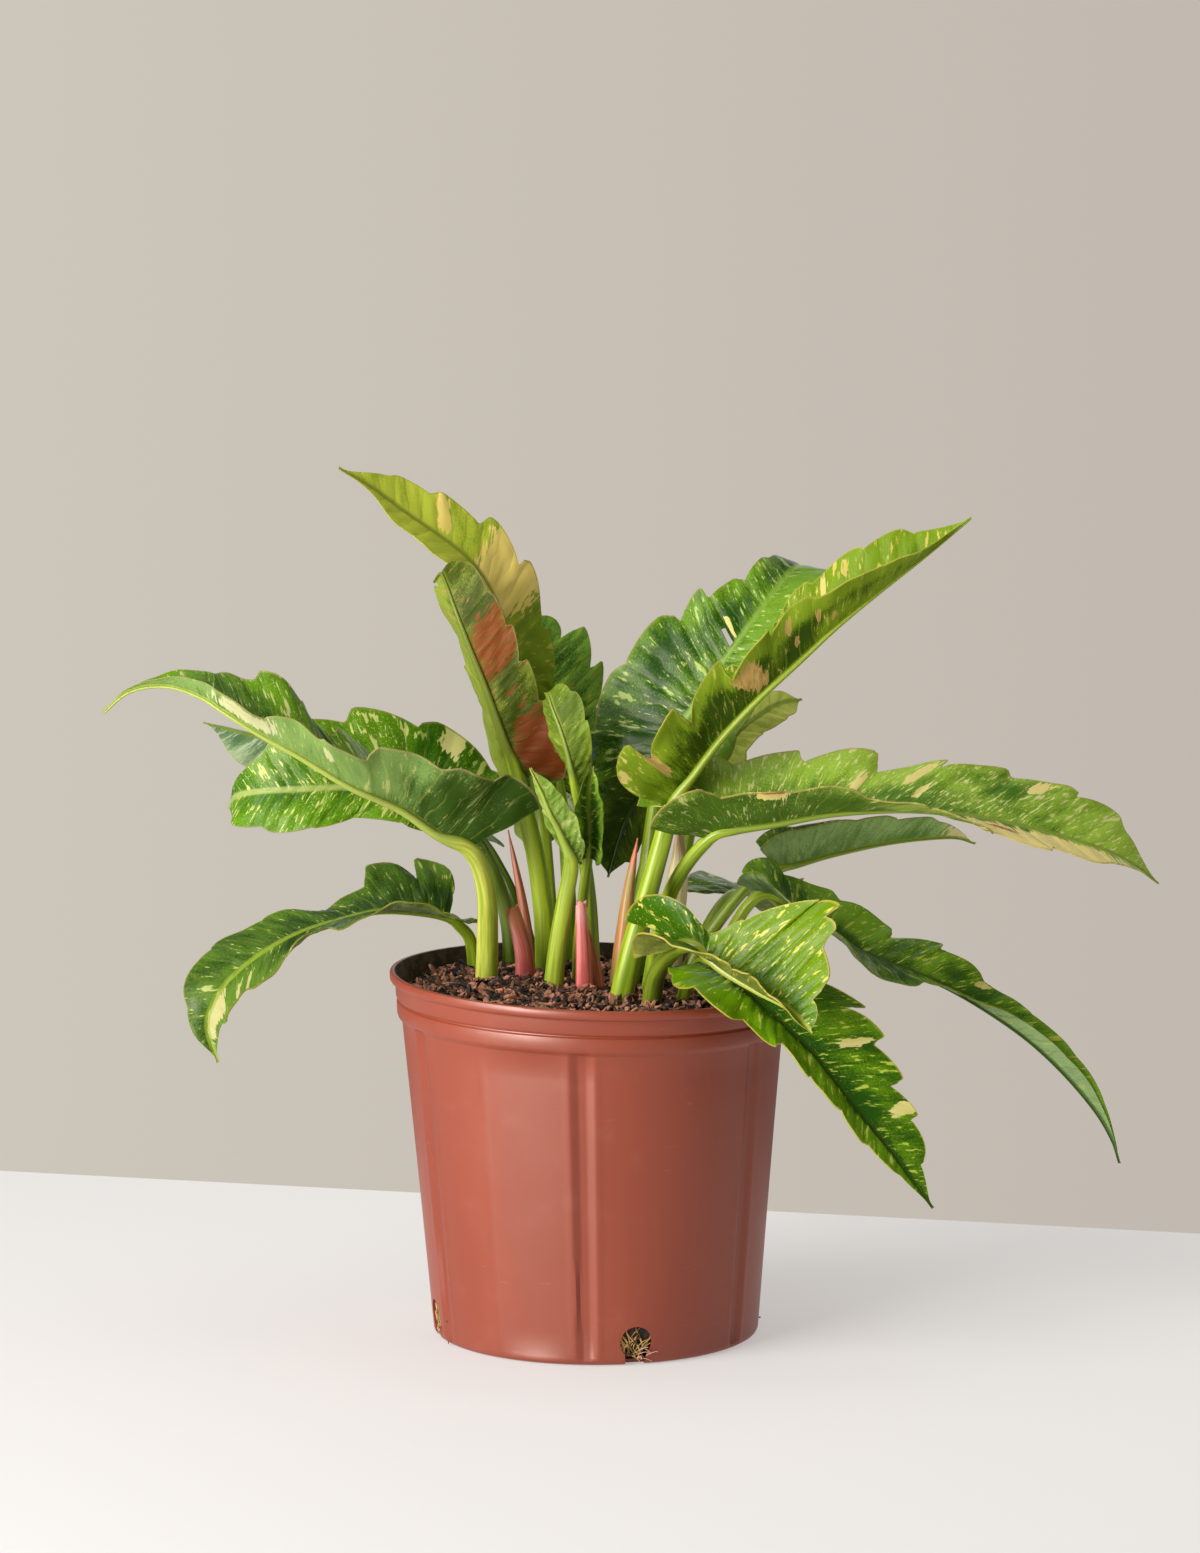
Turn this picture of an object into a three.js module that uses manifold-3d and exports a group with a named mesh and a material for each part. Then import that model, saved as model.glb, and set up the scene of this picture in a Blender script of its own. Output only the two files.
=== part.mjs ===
// A variegated philodendron in a soft terracotta-coloured nursery pot, in millimetres.
// +Z is up, the pot stands on z = 0 with its axis through the origin, and the front is towards -Y.
// Each leaf is one body: petiole, midrib and blade. Young leaves are still rolled in their sheaths.

import * as THREE from "three";
import Module from "manifold-3d";
import { mergeVertices } from "three/addons/utils/BufferGeometryUtils.js";

const wasm = await Module();
wasm.setup();

// Pot
const POT_HEIGHT = 235;
const RIM_RADIUS = 131.5;
const WALL_TOP_RADIUS = 124;
const BASE_RADIUS = 106.5;
const WALL = 2.4;
const COLLAR_HEIGHT = 28;
const FLUTES = 6;
const FLUTE_TURN = 3; // degrees from the front to the nearest flute
const FLUTE_HALF_ANGLE = 3.3;
const FLUTE_EDGE_ANGLE = 4.9;
const FLUTE_DEPTH = 1.4;
const SEGMENTS_PER_FLUTE = 8;
const LEAN = 2.8; // the soft pot leans this far to the left at its rim
const RIM_TIP = 4.5; // its rim stands this much higher at the left end
const DRAINS = 4;
const DRAIN_TURN = 14;
const DRAIN_RADIUS = 10.5;
const DRAIN_CENTRE_HEIGHT = 15;

// Soil
const SOIL_EDGE_HEIGHT = 219;
const SOIL_HEAP = 6;
const SOIL_BUMP = 1.2;
const GAP = 0.35; // clearance between neighbouring bodies

// Leaves
const BLADE_THICKNESS = 1.1;
const BROAD = 30; // a half blade at least this wide bends in its middle
const ROWS_PER_TOOTH = [0, 0.66]; // the notch and the point of each tooth
const BURIED = 22; // length of each stem below the soil's surface
const STEM_SIDES = 7;

const COLOURS = {
  pot: new THREE.MeshStandardMaterial({ color: 0xb5573f, roughness: 0.5, metalness: 0 }),
  soil: new THREE.MeshStandardMaterial({ color: 0x3b2720, roughness: 0.95, metalness: 0 }),
  leaf: new THREE.MeshStandardMaterial({ color: 0x4f8a1f, roughness: 0.42, metalness: 0 }),
  sheath: new THREE.MeshStandardMaterial({ color: 0xc9646a, roughness: 0.5, metalness: 0 }),
  spear: new THREE.MeshStandardMaterial({ color: 0xcf8a5a, roughness: 0.5, metalness: 0 }),
  husk: new THREE.MeshStandardMaterial({ color: 0xd9cf9f, roughness: 0.7, metalness: 0 }),
};

const radians = THREE.MathUtils.degToRad;
const lerp = THREE.MathUtils.lerp;
const smooth = THREE.MathUtils.smoothstep;

// A repeatable scatter value from 0 to 1.
function scatter(index, seed) {
  const wave = Math.sin(index * 12.9898 + seed * 78.233) * 43758.5453;
  return wave - Math.floor(wave);
}

// A smooth curve through evenly spaced values, read at a share of its length.
function keyed(values, share) {
  const last = values.length - 1;
  const place = Math.min(Math.max(share, 0), 1) * last;
  const index = Math.min(Math.floor(place), last - 1);
  const [before, from, to, after] = [-1, 0, 1, 2].map((k) => values[Math.min(Math.max(index + k, 0), last)]);
  const t = place - index;
  const slopes = [(to - before) / 2, (after - from) / 2];
  return (
    (2 * t ** 3 - 3 * t ** 2 + 1) * from +
    (t ** 3 - 2 * t ** 2 + t) * slopes[0] +
    (-2 * t ** 3 + 3 * t ** 2) * to +
    (t ** 3 - t ** 2) * slopes[1]
  );
}

// Solids

function solidOf(geometry) {
  const bare = geometry.clone();
  for (const name of Object.keys(bare.attributes)) {
    if (name !== "position") {
      bare.deleteAttribute(name);
    }
  }
  const merged = mergeVertices(bare, 1e-4);
  const vertProperties = new Float32Array(merged.attributes.position.array);
  const triVerts = new Uint32Array(merged.index.array);
  return new wasm.Manifold(new wasm.Mesh({ numProp: 3, vertProperties, triVerts }));
}

function geometryOf(solid) {
  const mesh = solid.getMesh();
  return new THREE.BufferGeometry()
    .setAttribute("position", new THREE.BufferAttribute(mesh.vertProperties, 3))
    .setIndex(new THREE.BufferAttribute(mesh.triVerts, 1));
}

function bufferOf(points, faces) {
  return new THREE.BufferGeometry()
    .setAttribute("position", new THREE.Float32BufferAttribute(points.flatMap((p) => [p.x, p.y, p.z]), 3))
    .setIndex(faces.flat());
}

// A closed tube through rings that have the same number of points, with a cap at each end.
function loft(rings) {
  const sides = rings[0].length;
  const points = rings.flat();
  const faces = [];
  for (let row = 0; row < rings.length - 1; row += 1) {
    for (let k = 0; k < sides; k += 1) {
      const a = row * sides + k;
      const b = row * sides + ((k + 1) % sides);
      faces.push([a, b, b + sides], [a, b + sides, a + sides]);
    }
  }
  for (const [start, flipped] of [[0, true], [(rings.length - 1) * sides, false]]) {
    for (let k = 1; k < sides - 1; k += 1) {
      faces.push(flipped ? [start, start + k + 1, start + k] : [start, start + k, start + k + 1]);
    }
  }
  return bufferOf(points, faces);
}

// Pot

// The half section of the pot from the middle of its underside, out, up and back down inside.
function potProfile() {
  const wallTop = POT_HEIGHT - COLLAR_HEIGHT;
  return [
    [0, 0],
    [BASE_RADIUS - 5, 0],
    [BASE_RADIUS - 1.4, 1.3],
    [BASE_RADIUS, 5],
    [WALL_TOP_RADIUS, wallTop - 3],
    [WALL_TOP_RADIUS + 2, wallTop],
    [WALL_TOP_RADIUS + 3.2, wallTop + 9],
    [WALL_TOP_RADIUS + 2, wallTop + 10.5],
    [WALL_TOP_RADIUS + 3.6, wallTop + 12],
    [RIM_RADIUS - 3.4, POT_HEIGHT - 6.5],
    [RIM_RADIUS, POT_HEIGHT - 5],
    [RIM_RADIUS, POT_HEIGHT - 1.2],
    [RIM_RADIUS - 1.2, POT_HEIGHT],
    [RIM_RADIUS - 3.6, POT_HEIGHT],
    [WALL_TOP_RADIUS + 3.6 - WALL, POT_HEIGHT - 8],
    [WALL_TOP_RADIUS - WALL, wallTop - 6],
    [BASE_RADIUS - WALL, WALL + 3],
    [0, WALL],
  ].map(([r, z]) => new THREE.Vector2(r, z));
}

// The angles of one turn's segments, with four of each flute's on the edges of its channel.
function turnAngle(segment) {
  const flute = Math.floor(segment / SEGMENTS_PER_FLUTE);
  const place = segment % SEGMENTS_PER_FLUTE;
  const span = 360 / FLUTES;
  const edges = [-FLUTE_EDGE_ANGLE, -FLUTE_HALF_ANGLE, FLUTE_HALF_ANGLE, FLUTE_EDGE_ANGLE];
  const free = SEGMENTS_PER_FLUTE - edges.length + 1;
  const between = FLUTE_EDGE_ANGLE + ((place - 3) / free) * (span - 2 * FLUTE_EDGE_ANGLE);
  return flute * span + (place < edges.length ? edges[place] : between);
}

// The soft pot's lean and tipped rim, applied to a point of the upright pot.
function softened(point) {
  const share = Math.max(point.z / POT_HEIGHT, 0);
  const lift = (-point.x / RIM_RADIUS) * RIM_TIP * share * share;
  return point.set(point.x - LEAN * share, point.y, point.z + lift);
}

function fluteAt(angle, radius, height) {
  const span = 360 / FLUTES;
  const off = Math.abs(angle - span * Math.round(angle / span));
  const onWall = radius > BASE_RADIUS - 0.5 && height < POT_HEIGHT - COLLAR_HEIGHT - 1;
  return off < FLUTE_HALF_ANGLE + 0.1 && onWall ? FLUTE_DEPTH : 0;
}

function potShell() {
  const segments = FLUTES * SEGMENTS_PER_FLUTE;
  const geometry = new THREE.LatheGeometry(potProfile(), segments);
  const rows = potProfile().length;
  const position = geometry.attributes.position;
  for (let i = 0; i < position.count; i += 1) {
    const segment = Math.floor(i / rows) % segments;
    const { x: radius, y: height } = potProfile()[i % rows];
    const angle = turnAngle(segment);
    const across = radius - fluteAt(angle, radius, height);
    const turn = radians(angle - FLUTE_TURN - 90);
    position.setXYZ(i, across * Math.cos(turn), across * Math.sin(turn), height);
  }
  return solidOf(geometry);
}

// A round drain hole that opens down through the corner of the base.
function drainCutter(turn) {
  const outline = new THREE.Shape();
  outline.moveTo(-DRAIN_RADIUS, -4);
  outline.lineTo(DRAIN_RADIUS, -4);
  outline.lineTo(DRAIN_RADIUS, DRAIN_CENTRE_HEIGHT);
  outline.absarc(0, DRAIN_CENTRE_HEIGHT, DRAIN_RADIUS, 0, Math.PI, false);
  const geometry = new THREE.ExtrudeGeometry(outline, { depth: 16, bevelEnabled: false, curveSegments: 6 });
  geometry.rotateX(Math.PI / 2);
  geometry.translate(0, -(BASE_RADIUS - 9), 0);
  geometry.rotateZ(radians(turn));
  return solidOf(geometry);
}

function shaped(solid, move) {
  const geometry = geometryOf(solid);
  const position = geometry.attributes.position;
  const point = new THREE.Vector3();
  for (let i = 0; i < position.count; i += 1) {
    move(point.fromBufferAttribute(position, i));
    position.setXYZ(i, point.x, point.y, point.z);
  }
  return geometry;
}

function pot() {
  let shell = potShell();
  for (let k = 0; k < DRAINS; k += 1) {
    shell = shell.subtract(drainCutter(DRAIN_TURN + (k * 360) / DRAINS));
  }
  return solidOf(shaped(shell, softened));
}

// Soil

function soilTop(x, y) {
  const out = Math.min(Math.hypot(x, y) / WALL_TOP_RADIUS, 1);
  const bumps = Math.sin(x * 0.09 + 1) * Math.cos(y * 0.11) + 0.6 * Math.sin(x * 0.23 - y * 0.19);
  return SOIL_EDGE_HEIGHT + SOIL_HEAP * (1 - out * out) + SOIL_BUMP * bumps;
}

function soil() {
  const inner = (height) => lerp(BASE_RADIUS, WALL_TOP_RADIUS, height / (POT_HEIGHT - COLLAR_HEIGHT)) - WALL - 1.1;
  const top = SOIL_EDGE_HEIGHT;
  const rows = [[0, WALL + 1], [BASE_RADIUS - WALL - 3, WALL + 4], [inner(20), 20], [inner(top) - 1, top]];
  for (const share of [0.7, 0.36, 0]) {
    rows.push([inner(top) * share, top]);
  }
  const profile = rows.map(([r, z]) => new THREE.Vector2(r, z));
  const geometry = new THREE.LatheGeometry(profile, 30);
  geometry.rotateX(Math.PI / 2);
  const position = geometry.attributes.position;
  for (let i = 0; i < position.count; i += 1) {
    if (position.getZ(i) > top - 1) {
      position.setZ(i, soilTop(position.getX(i), position.getY(i)));
    }
  }
  return solidOf(shaped(solidOf(geometry), softened));
}

// Leaves

// The line of a leaf from below the soil to its tip, with where its blade starts along it.
class LeafLine {
  constructor(stem, rib) {
    const points = [...stem, ...rib].map((p) => new THREE.Vector3(...p));
    const into = points[0].clone().sub(points[1]).normalize();
    points.unshift(points[0].clone().addScaledVector(into, BURIED));
    this.curve = new THREE.CatmullRomCurve3(points, false, "catmullrom", 0.5);
    this.length = this.curve.getLength();
    const lengths = this.curve.getLengths(400);
    this.base = lengths[Math.round(((stem.length + 1) / (points.length - 1)) * 400)] / this.length;
    this.soilShare = BURIED / this.length;
  }

  at(share) {
    return this.curve.getPointAt(Math.min(Math.max(share, 0), 1));
  }

  tangent(share) {
    return this.curve.getTangentAt(Math.min(Math.max(share, 0), 1));
  }
}

// Frames along the blade: the upper side's normal starts towards face and is carried without spin.
function bladeFrames(line, face, twist, rows) {
  const frames = [];
  let normal = new THREE.Vector3(...face);
  const steps = 120;
  let next = 0;
  for (let i = 0; i <= steps; i += 1) {
    const u = i / steps;
    const share = lerp(line.base, 1, u);
    const forward = line.tangent(share);
    normal = normal.clone().addScaledVector(forward, -normal.dot(forward)).normalize();
    while (next < rows.length && rows[next] <= u + 1e-9) {
      const turned = normal.clone().applyAxisAngle(forward, radians(keyed(twist, rows[next])));
      const right = forward.clone().cross(turned);
      frames.push({ origin: line.at(lerp(line.base, 1, rows[next])), forward, normal: turned, right });
      next += 1;
    }
  }
  return frames;
}

// How far a tooth stands out at a place along the margin: a slow rise, then a quick fall.
function toothShape(place) {
  const share = place - Math.floor(place);
  const rise = ROWS_PER_TOOTH[1];
  return Math.sin((share < rise ? share / rise : (1 - share) / (1 - rise)) * (Math.PI / 2));
}

// A vein's length, its angle from the midrib's side direction and its margin's ripple, at row q.
function veinAt(leaf, side, q) {
  const half = side > 0 ? leaf.right : leaf.left;
  const place = q * leaf.teeth;
  const index = Math.floor(place + 1e-9);
  const own = leaf.seed + (side > 0 ? 11 : 0);
  const depth = Math.max(keyed(half.bite, q), 0) * (0.5 + 0.9 * scatter(index, own));
  const tooth = toothShape(place + 1e-9);
  const outline = keyed([...half.width, 0], q);
  const length = Math.max(outline * (1 - depth * (1 - tooth)), 1.2);
  const sweep = lerp(-half.ears, leaf.sweep, smooth(q, 0, 0.42));
  const spur = 0.6 * outline * depth * Math.pow(tooth, 3) * smooth(q, 0.1, 0.25);
  const ripple = leaf.wave * Math.sin(Math.PI * place * 1.1 + own * 1.7) * smooth(q, 0, 0.08) * (1 - q * q);
  return { length, sweep, spur, ripple };
}

// A point of the blade's middle surface: t runs from the midrib, 0, to the margin, 1.
function bladePoint(leaf, side, q, t, frame) {
  const half = side > 0 ? leaf.right : leaf.left;
  const { length, sweep, spur, ripple } = veinAt(leaf, side, q);
  const lift = radians(keyed(half.lift, q));
  const curl = radians(half.curl) || 1e-4;
  const across = (Math.sin(lift + curl * t) - Math.sin(lift)) / curl;
  const up = (Math.cos(lift) - Math.cos(lift + curl * t)) / curl;
  const lean = radians(sweep);
  const end = lift + curl * t;
  return frame.origin
    .clone()
    .addScaledVector(frame.right, side * length * across * Math.cos(lean))
    .addScaledVector(frame.normal, length * up * Math.cos(lean))
    .addScaledVector(frame.forward, length * Math.sin(lean) * t + spur * t * t)
    .addScaledVector(frame.right, -side * Math.sin(end) * ripple * t * t)
    .addScaledVector(frame.normal, Math.cos(end) * ripple * t * t);
}

// Row places: two to a tooth, crowded towards the base on the midrib so the ears fan out.
function bladeRows(teeth) {
  const rows = [];
  for (let k = 0; k < teeth; k += 1) {
    for (const part of ROWS_PER_TOOTH) {
      rows.push((k + part) / teeth);
    }
  }
  return [...rows, 1];
}

function ribPlace(q) {
  return Math.pow(q, 1.3);
}

// The blade: a thin closed sheet with the midrib as a ridge on its underside.
// Both faces are split into triangles alike.
function blade(leaf, line) {
  const rows = bladeRows(leaf.teeth);
  const frames = bladeFrames(line, leaf.face, leaf.twist, rows.map(ribPlace));
  const wide = Math.max(...leaf.left.width, ...leaf.right.width) >= BROAD;
  const grid = rows.map((q, i) => {
    const half = (side) => {
      const { length } = veinAt(leaf, side, q);
      const ridge = Math.min(stemRadius(leaf, line, lerp(line.base, 1, ribPlace(q))) / length, 0.4);
      const places = wide ? [ridge, 0.56, 1] : [ridge, 1];
      return places.map((t) => bladePoint(leaf, side, q, t, frames[i]));
    };
    return [...half(-1).reverse(), bladePoint(leaf, 1, q, 0, frames[i]), ...half(1)];
  });
  const columns = grid[0].length;
  const middle = (columns - 1) / 2;
  const normals = grid.map((row, i) => row.map((point, j) => {
    const along = grid[Math.min(i + 1, grid.length - 1)][j].clone().sub(grid[Math.max(i - 1, 0)][j]);
    const across = row[Math.min(j + 1, columns - 1)].clone().sub(row[Math.max(j - 1, 0)]);
    return across.cross(along).normalize();
  }));
  const shifted = (amount) => grid.map((row, i) => row.map((point, j) => {
    const share = lerp(line.base, 1, ribPlace(rows[i]));
    const ridge = amount < 0 && j === middle ? stemRadius(leaf, line, share) : 0;
    return point.clone().addScaledVector(normals[i][j], amount - ridge);
  }));
  const points = [...shifted(BLADE_THICKNESS / 2).flat(), ...shifted(-BLADE_THICKNESS / 2).flat()];
  const under = grid.length * columns;
  const faces = [];
  const both = (a, b, c) => faces.push([a, b, c], [under + a, under + c, under + b]);
  const wall = (a, b) => faces.push([a, under + a, under + b], [a, under + b, b]);
  for (let i = 0; i < grid.length - 1; i += 1) {
    const row = i * columns;
    for (let a = row; a < row + columns - 1; a += 1) {
      both(a, a + 1, a + 1 + columns);
      both(a, a + 1 + columns, a + columns);
    }
    wall(row + columns, row);
    wall(row + columns - 1, row + 2 * columns - 1);
  }
  for (let j = 0; j < columns - 1; j += 1) {
    const last = (grid.length - 1) * columns + j;
    wall(j, j + 1);
    wall(last + 1, last);
  }
  return solidOf(bufferOf(points, faces));
}

// The stem's and midrib's radius at a share of the leaf's line.
function stemRadius(leaf, line, share) {
  if (share < line.base) {
    return leaf.radius * lerp(1, 0.72, share / line.base);
  }
  const u = (share - line.base) / (1 - line.base);
  return Math.max(leaf.radius * lerp(0.66, 0.1, Math.pow(u, 0.75)), 0.7);
}

function stemRings(leaf, line, shares, extra) {
  const face = new THREE.Vector3(...leaf.face);
  return shares.map((share) => {
    const forward = line.tangent(share);
    const normal = face.clone().addScaledVector(forward, -face.dot(forward)).normalize();
    const right = forward.clone().cross(normal);
    const radius = stemRadius(leaf, line, share) + extra;
    const drop = share < line.base ? 0 : 0.55 * radius * smooth(share, line.base, line.base + 0.06);
    const centre = line.at(share).addScaledVector(normal, -drop);
    return Array.from({ length: STEM_SIDES }, (_, k) => {
      const turn = (k / STEM_SIDES) * 2 * Math.PI;
      return centre
        .clone()
        .addScaledVector(right, radius * Math.cos(turn))
        .addScaledVector(normal, -radius * Math.sin(turn));
    });
  });
}

function stem(leaf, line) {
  const shares = [0, line.soilShare * 0.95];
  const below = leaf.stem.length + 2;
  for (let i = 1; i <= below; i += 1) {
    shares.push(lerp(line.soilShare, line.base, i / below));
  }
  shares.push(line.base + 5 / line.length);
  return solidOf(loft(stemRings(leaf, line, shares, 0)));
}

// The hole that a stem stands in, a little wider and deeper than the stem.
function stemHole(leaf, line) {
  const shares = [0, line.soilShare * 0.95, line.soilShare + 14 / line.length];
  const rings = stemRings(leaf, line, shares, 2 * GAP);
  const down = line.tangent(0).multiplyScalar(-GAP);
  rings[0].forEach((p) => p.add(down));
  return solidOf(loft(rings));
}

const LEAVES = [
  {
    name: "leaf_left_long",
    stem: [[-72, 20, 222], [-71, 14, 256], [-71, 2, 285], [-75, -7, 307]],
    rib: [[-83, -14, 321], [-101, -21, 331], [-126, -32, 350], [-157, -45, 366], [-189, -50, 386],
      [-216, -50, 401], [-237, -48, 414], [-254, -44, 424], [-276, -40, 430], [-299, -37, 426], [-316, -34, 412]],
    radius: 8, face: [0, 0, 1], twist: [0, 0], teeth: 8, wave: 3, sweep: 38, seed: 3,
    left: { ears: 25, width: [60, 50, 40, 26, 13], lift: [78, 54, 36, 32, 34, 40], curl: 8, bite: [0.1, 0.14, 0.08] },
    right: { ears: 50, width: [46, 50, 58, 58, 26], lift: [5, 20, 50, 58, 44, 50], curl: -8, bite: [0.1, 0.12, 0.04] },
  },
  {
    name: "leaf_left_low",
    stem: [[-80, 68, 222], [-83, 64, 247], [-90, 58, 258]],
    rib: [[-97, 54, 264], [-116, 46, 269], [-143, 38, 271], [-170, 30, 266], [-194, 22, 259],
      [-213, 15, 250], [-232, 8, 237], [-246, 2, 222], [-253, -2, 202], [-246, -8, 179]],
    radius: 5, face: [0, 0, 1], twist: [0, 0, -14, -40, -62], teeth: 7, wave: 2, sweep: 34, seed: 5,
    left: { ears: 30, width: [26, 32, 34, 38, 26], lift: [8, 8, 4, 2, 12, 20], curl: 4, bite: [0.1, 0.14] },
    right: { ears: 8, width: [46, 44, 25, 34, 26], lift: [58, 42, 22, 22, 24, 30], curl: -6, bite: [0.24, 0.12, 0.08] },
  },
  {
    name: "leaf_left_broad",
    stem: [[-56, 90, 222], [-58, 84, 254], [-65, 74, 283], [-76, 66, 309]],
    rib: [[-88, 62, 327], [-109, 57, 340], [-139, 50, 350], [-165, 46, 352], [-194, 44, 351],
      [-219, 48, 349], [-236, 62, 344], [-244, 90, 332]],
    radius: 6, face: [0, -0.85, 0.5], twist: [0, 0], teeth: 7, wave: 2.5, sweep: 30, seed: 8,
    left: { ears: 30, width: [16, 20, 25, 33, 25], lift: [10, 6, 4, 4, 10, 10], curl: -6, bite: [0.05, 0.2] },
    right: { ears: 42, width: [40, 50, 56, 44, 16], lift: [16, 10, 10, 10, 10, 10], curl: -8, bite: [0.1, 0.12, 0.05] },
  },
  {
    name: "leaf_left_back",
    stem: [[-40, 90, 222], [-49, 94, 256], [-64, 100, 289]],
    rib: [[-81, 106, 312], [-117, 110, 335], [-164, 112, 354], [-203, 110, 370], [-236, 104, 381], [-260, 98, 388]],
    radius: 5, face: [0, 0.2, 1], twist: [0, 0], teeth: 5, wave: 2, sweep: 36, seed: 13,
    left: { ears: 36, width: [8, 10, 22, 34, 31], lift: [-30, -46, -56, -62, -66, -60], curl: -6, bite: [0.1, 0.1] },
    right: { ears: 36, width: [36, 40, 38, 32, 20], lift: [20, 20, 20, 16, 10, 10], curl: -10, bite: [0.1, 0.1] },
  },
  {
    name: "leaf_tall_left",
    stem: [[-29, 74, 222], [-32, 80, 272], [-36, 88, 325], [-40, 92, 364]],
    rib: [[-44, 94, 400], [-54, 95, 433], [-63, 95, 460], [-72, 94, 480], [-84, 91, 497],
      [-102, 88, 512], [-124, 82, 528], [-147, 74, 546], [-168, 66, 560]],
    radius: 6.5, face: [0.7, 0, 0.7], twist: [0, 0], teeth: 7, wave: 2.5, sweep: 32, seed: 21,
    left: { ears: 42, width: [28, 28, 28, 27, 17], lift: [20, 5, -8, -16, -14, 0], curl: -14, bite: [0.1, 0.08] },
    right: { ears: 42, width: [20, 29, 41, 33, 23], lift: [62, 60, 60, 60, 60, 50], curl: -8, bite: [0.1, 0.2, 0.14, 0] },
  },
  {
    name: "leaf_salmon_back",
    stem: [[-33, 46, 222], [-34, 45, 264], [-39, 43, 304], [-46, 41, 336]],
    rib: [[-53, 40, 364], [-62, 39, 391], [-72, 36, 420], [-82, 34, 446], [-91, 34, 470],
      [-97, 40, 486], [-101, 51, 492], [-106, 66, 485]],
    radius: 7.5, face: [0.6, 0.77, 0.2], twist: [0, 0], teeth: 7, wave: 2, sweep: 30, seed: 34,
    left: { ears: 30, width: [36, 38, 38, 36, 25], lift: [30, 26, 22, 20, 20, 20], curl: 6, bite: [0.2, 0.14, 0.05] },
    right: { ears: 40, width: [34, 38, 38, 36, 28], lift: [24, 26, 30, 30, 20, 20], curl: 10, bite: [0.1, 0.1] },
  },
  {
    name: "leaf_tall_right",
    stem: [[15, -35, 220], [22, -38, 255], [32, -40, 291], [41, -42, 324]],
    rib: [[49, -42, 352], [60, -44, 371], [79, -46, 397], [103, -48, 423], [129, -49, 447],
      [154, -48, 470], [180, -46, 491], [208, -44, 513], [239, -40, 538]],
    radius: 8, face: [0, 0, 1], twist: [0, 0], teeth: 8, wave: 5, sweep: 32, seed: 55,
    left: { ears: 20, width: [40, 44, 46, 46, 34], lift: [40, 34, 40, 62, 68, 60], curl: -8, bite: [0, 0.1, 0.1, 0.1] },
    right: { ears: 0, width: [52, 46, 42, 38, 24], lift: [60, 54, 54, 52, 24, 20], curl: 6, bite: [0.3, 0.24, 0.15, 0] },
  },
  {
    name: "leaf_upright_right",
    stem: [[25, 24, 221], [30, 27, 267], [34, 29, 307], [39, 30, 345]],
    rib: [[45, 31, 376], [55, 33, 393], [72, 36, 420], [91, 39, 447], [109, 46, 471],
      [121, 56, 486], [131, 74, 494], [138, 98, 491], [142, 122, 482]],
    radius: 6.5, face: [-0.43, -0.87, 0.25], twist: [0, 0], teeth: 8, wave: 2.5, sweep: 26, seed: 89,
    left: { ears: 42, width: [58, 62, 53, 30, 18], lift: [10, 10, 10, 10, 10, 10], curl: -8, bite: [0.2, 0.22, 0.14, 0] },
    right: { ears: 42, width: [44, 44, 40, 34, 22], lift: [10, 10, 10, 10, 10, 10], curl: -8, bite: [0.1, 0.1, 0] },
  },
  {
    name: "leaf_right_long",
    stem: [[34, -4, 221], [43, -14, 276], [55, -32, 308]],
    rib: [[73, -45, 332], [88, -48, 338], [117, -50, 343], [151, -50, 349], [191, -48, 351],
      [221, -45, 349], [252, -41, 344], [291, -35, 334], [327, -28, 322], [347, -22, 311], [364, -14, 298]],
    radius: 6, face: [0, 0, 1], twist: [0, 0], teeth: 8, wave: 2.5, sweep: 38, seed: 144,
    left: { ears: 10, width: [54, 64, 62, 66, 54], lift: [68, 54, 46, 46, 50, 50], curl: -8, bite: [0.1, 0.2, 0.22, 0.12, 0] },
    right: { ears: 22, width: [50, 36, 35, 34, 26], lift: [36, 34, 12, -24, -38, -24], curl: 4, bite: [0.2, 0.1, 0.2, 0.2, 0] },
  },
  {
    name: "leaf_right_back",
    stem: [[54, 44, 221], [72, 46, 251], [98, 48, 284]],
    rib: [[120, 50, 297], [132, 52, 300], [156, 56, 306], [194, 60, 313], [233, 63, 316], [250, 64, 312]],
    radius: 5, face: [0, 0, 1], twist: [0, 0], teeth: 5, wave: 1.5, sweep: 36, seed: 233,
    left: { ears: 10, width: [30, 34, 32, 28, 18], lift: [44, 40, 36, 34, 34, 30], curl: 0, bite: [0.1, 0.1] },
    right: { ears: 14, width: [30, 32, 30, 26, 18], lift: [50, 56, 60, 60, 60, 50], curl: 0, bite: [0.1, 0.1] },
  },
  {
    name: "leaf_right_drooping",
    stem: [[70, -2, 221], [84, -3, 256], [99, -4, 282]],
    rib: [[112, -4, 289], [132, -5, 279], [153, -6, 266], [174, -6, 251], [204, -6, 239], [229, -8, 228],
      [256, -10, 212], [282, -11, 193], [305, -12, 171], [325, -12, 147], [336, -12, 128], [341, -12, 113]],
    radius: 5, face: [0.3, 0, 1], twist: [0, 0], teeth: 9, wave: 2.5, sweep: 38, seed: 377,
    left: { ears: 40, width: [38, 36, 38, 24, 18], lift: [30, 34, 46, 50, 76, 80], curl: -8, bite: [0.2, 0.2, 0.1, 0] },
    right: { ears: 46, width: [38, 36, 26, 16, 13], lift: [20, 6, -16, 30, 76, 80], curl: 6, bite: [0.2, 0.2, 0.1, 0] },
  },
  {
    name: "leaf_front",
    stem: [[35, -44, 220], [39, -58, 246], [49, -78, 264]],
    rib: [[61, -94, 271], [71, -100, 264], [82, -107, 256], [102, -122, 246], [121, -140, 238], [135, -158, 226]],
    radius: 7, face: [-0.15, -0.88, 0.42], twist: [0, 0], teeth: 7, wave: 2, sweep: 28, seed: 610,
    left: { ears: 82, width: [78, 30, 66, 62, 34], lift: [20, 10, 10, 10, 10, 10], curl: -8, bite: [0.1, 0.1, 0.2, 0.3] },
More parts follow.
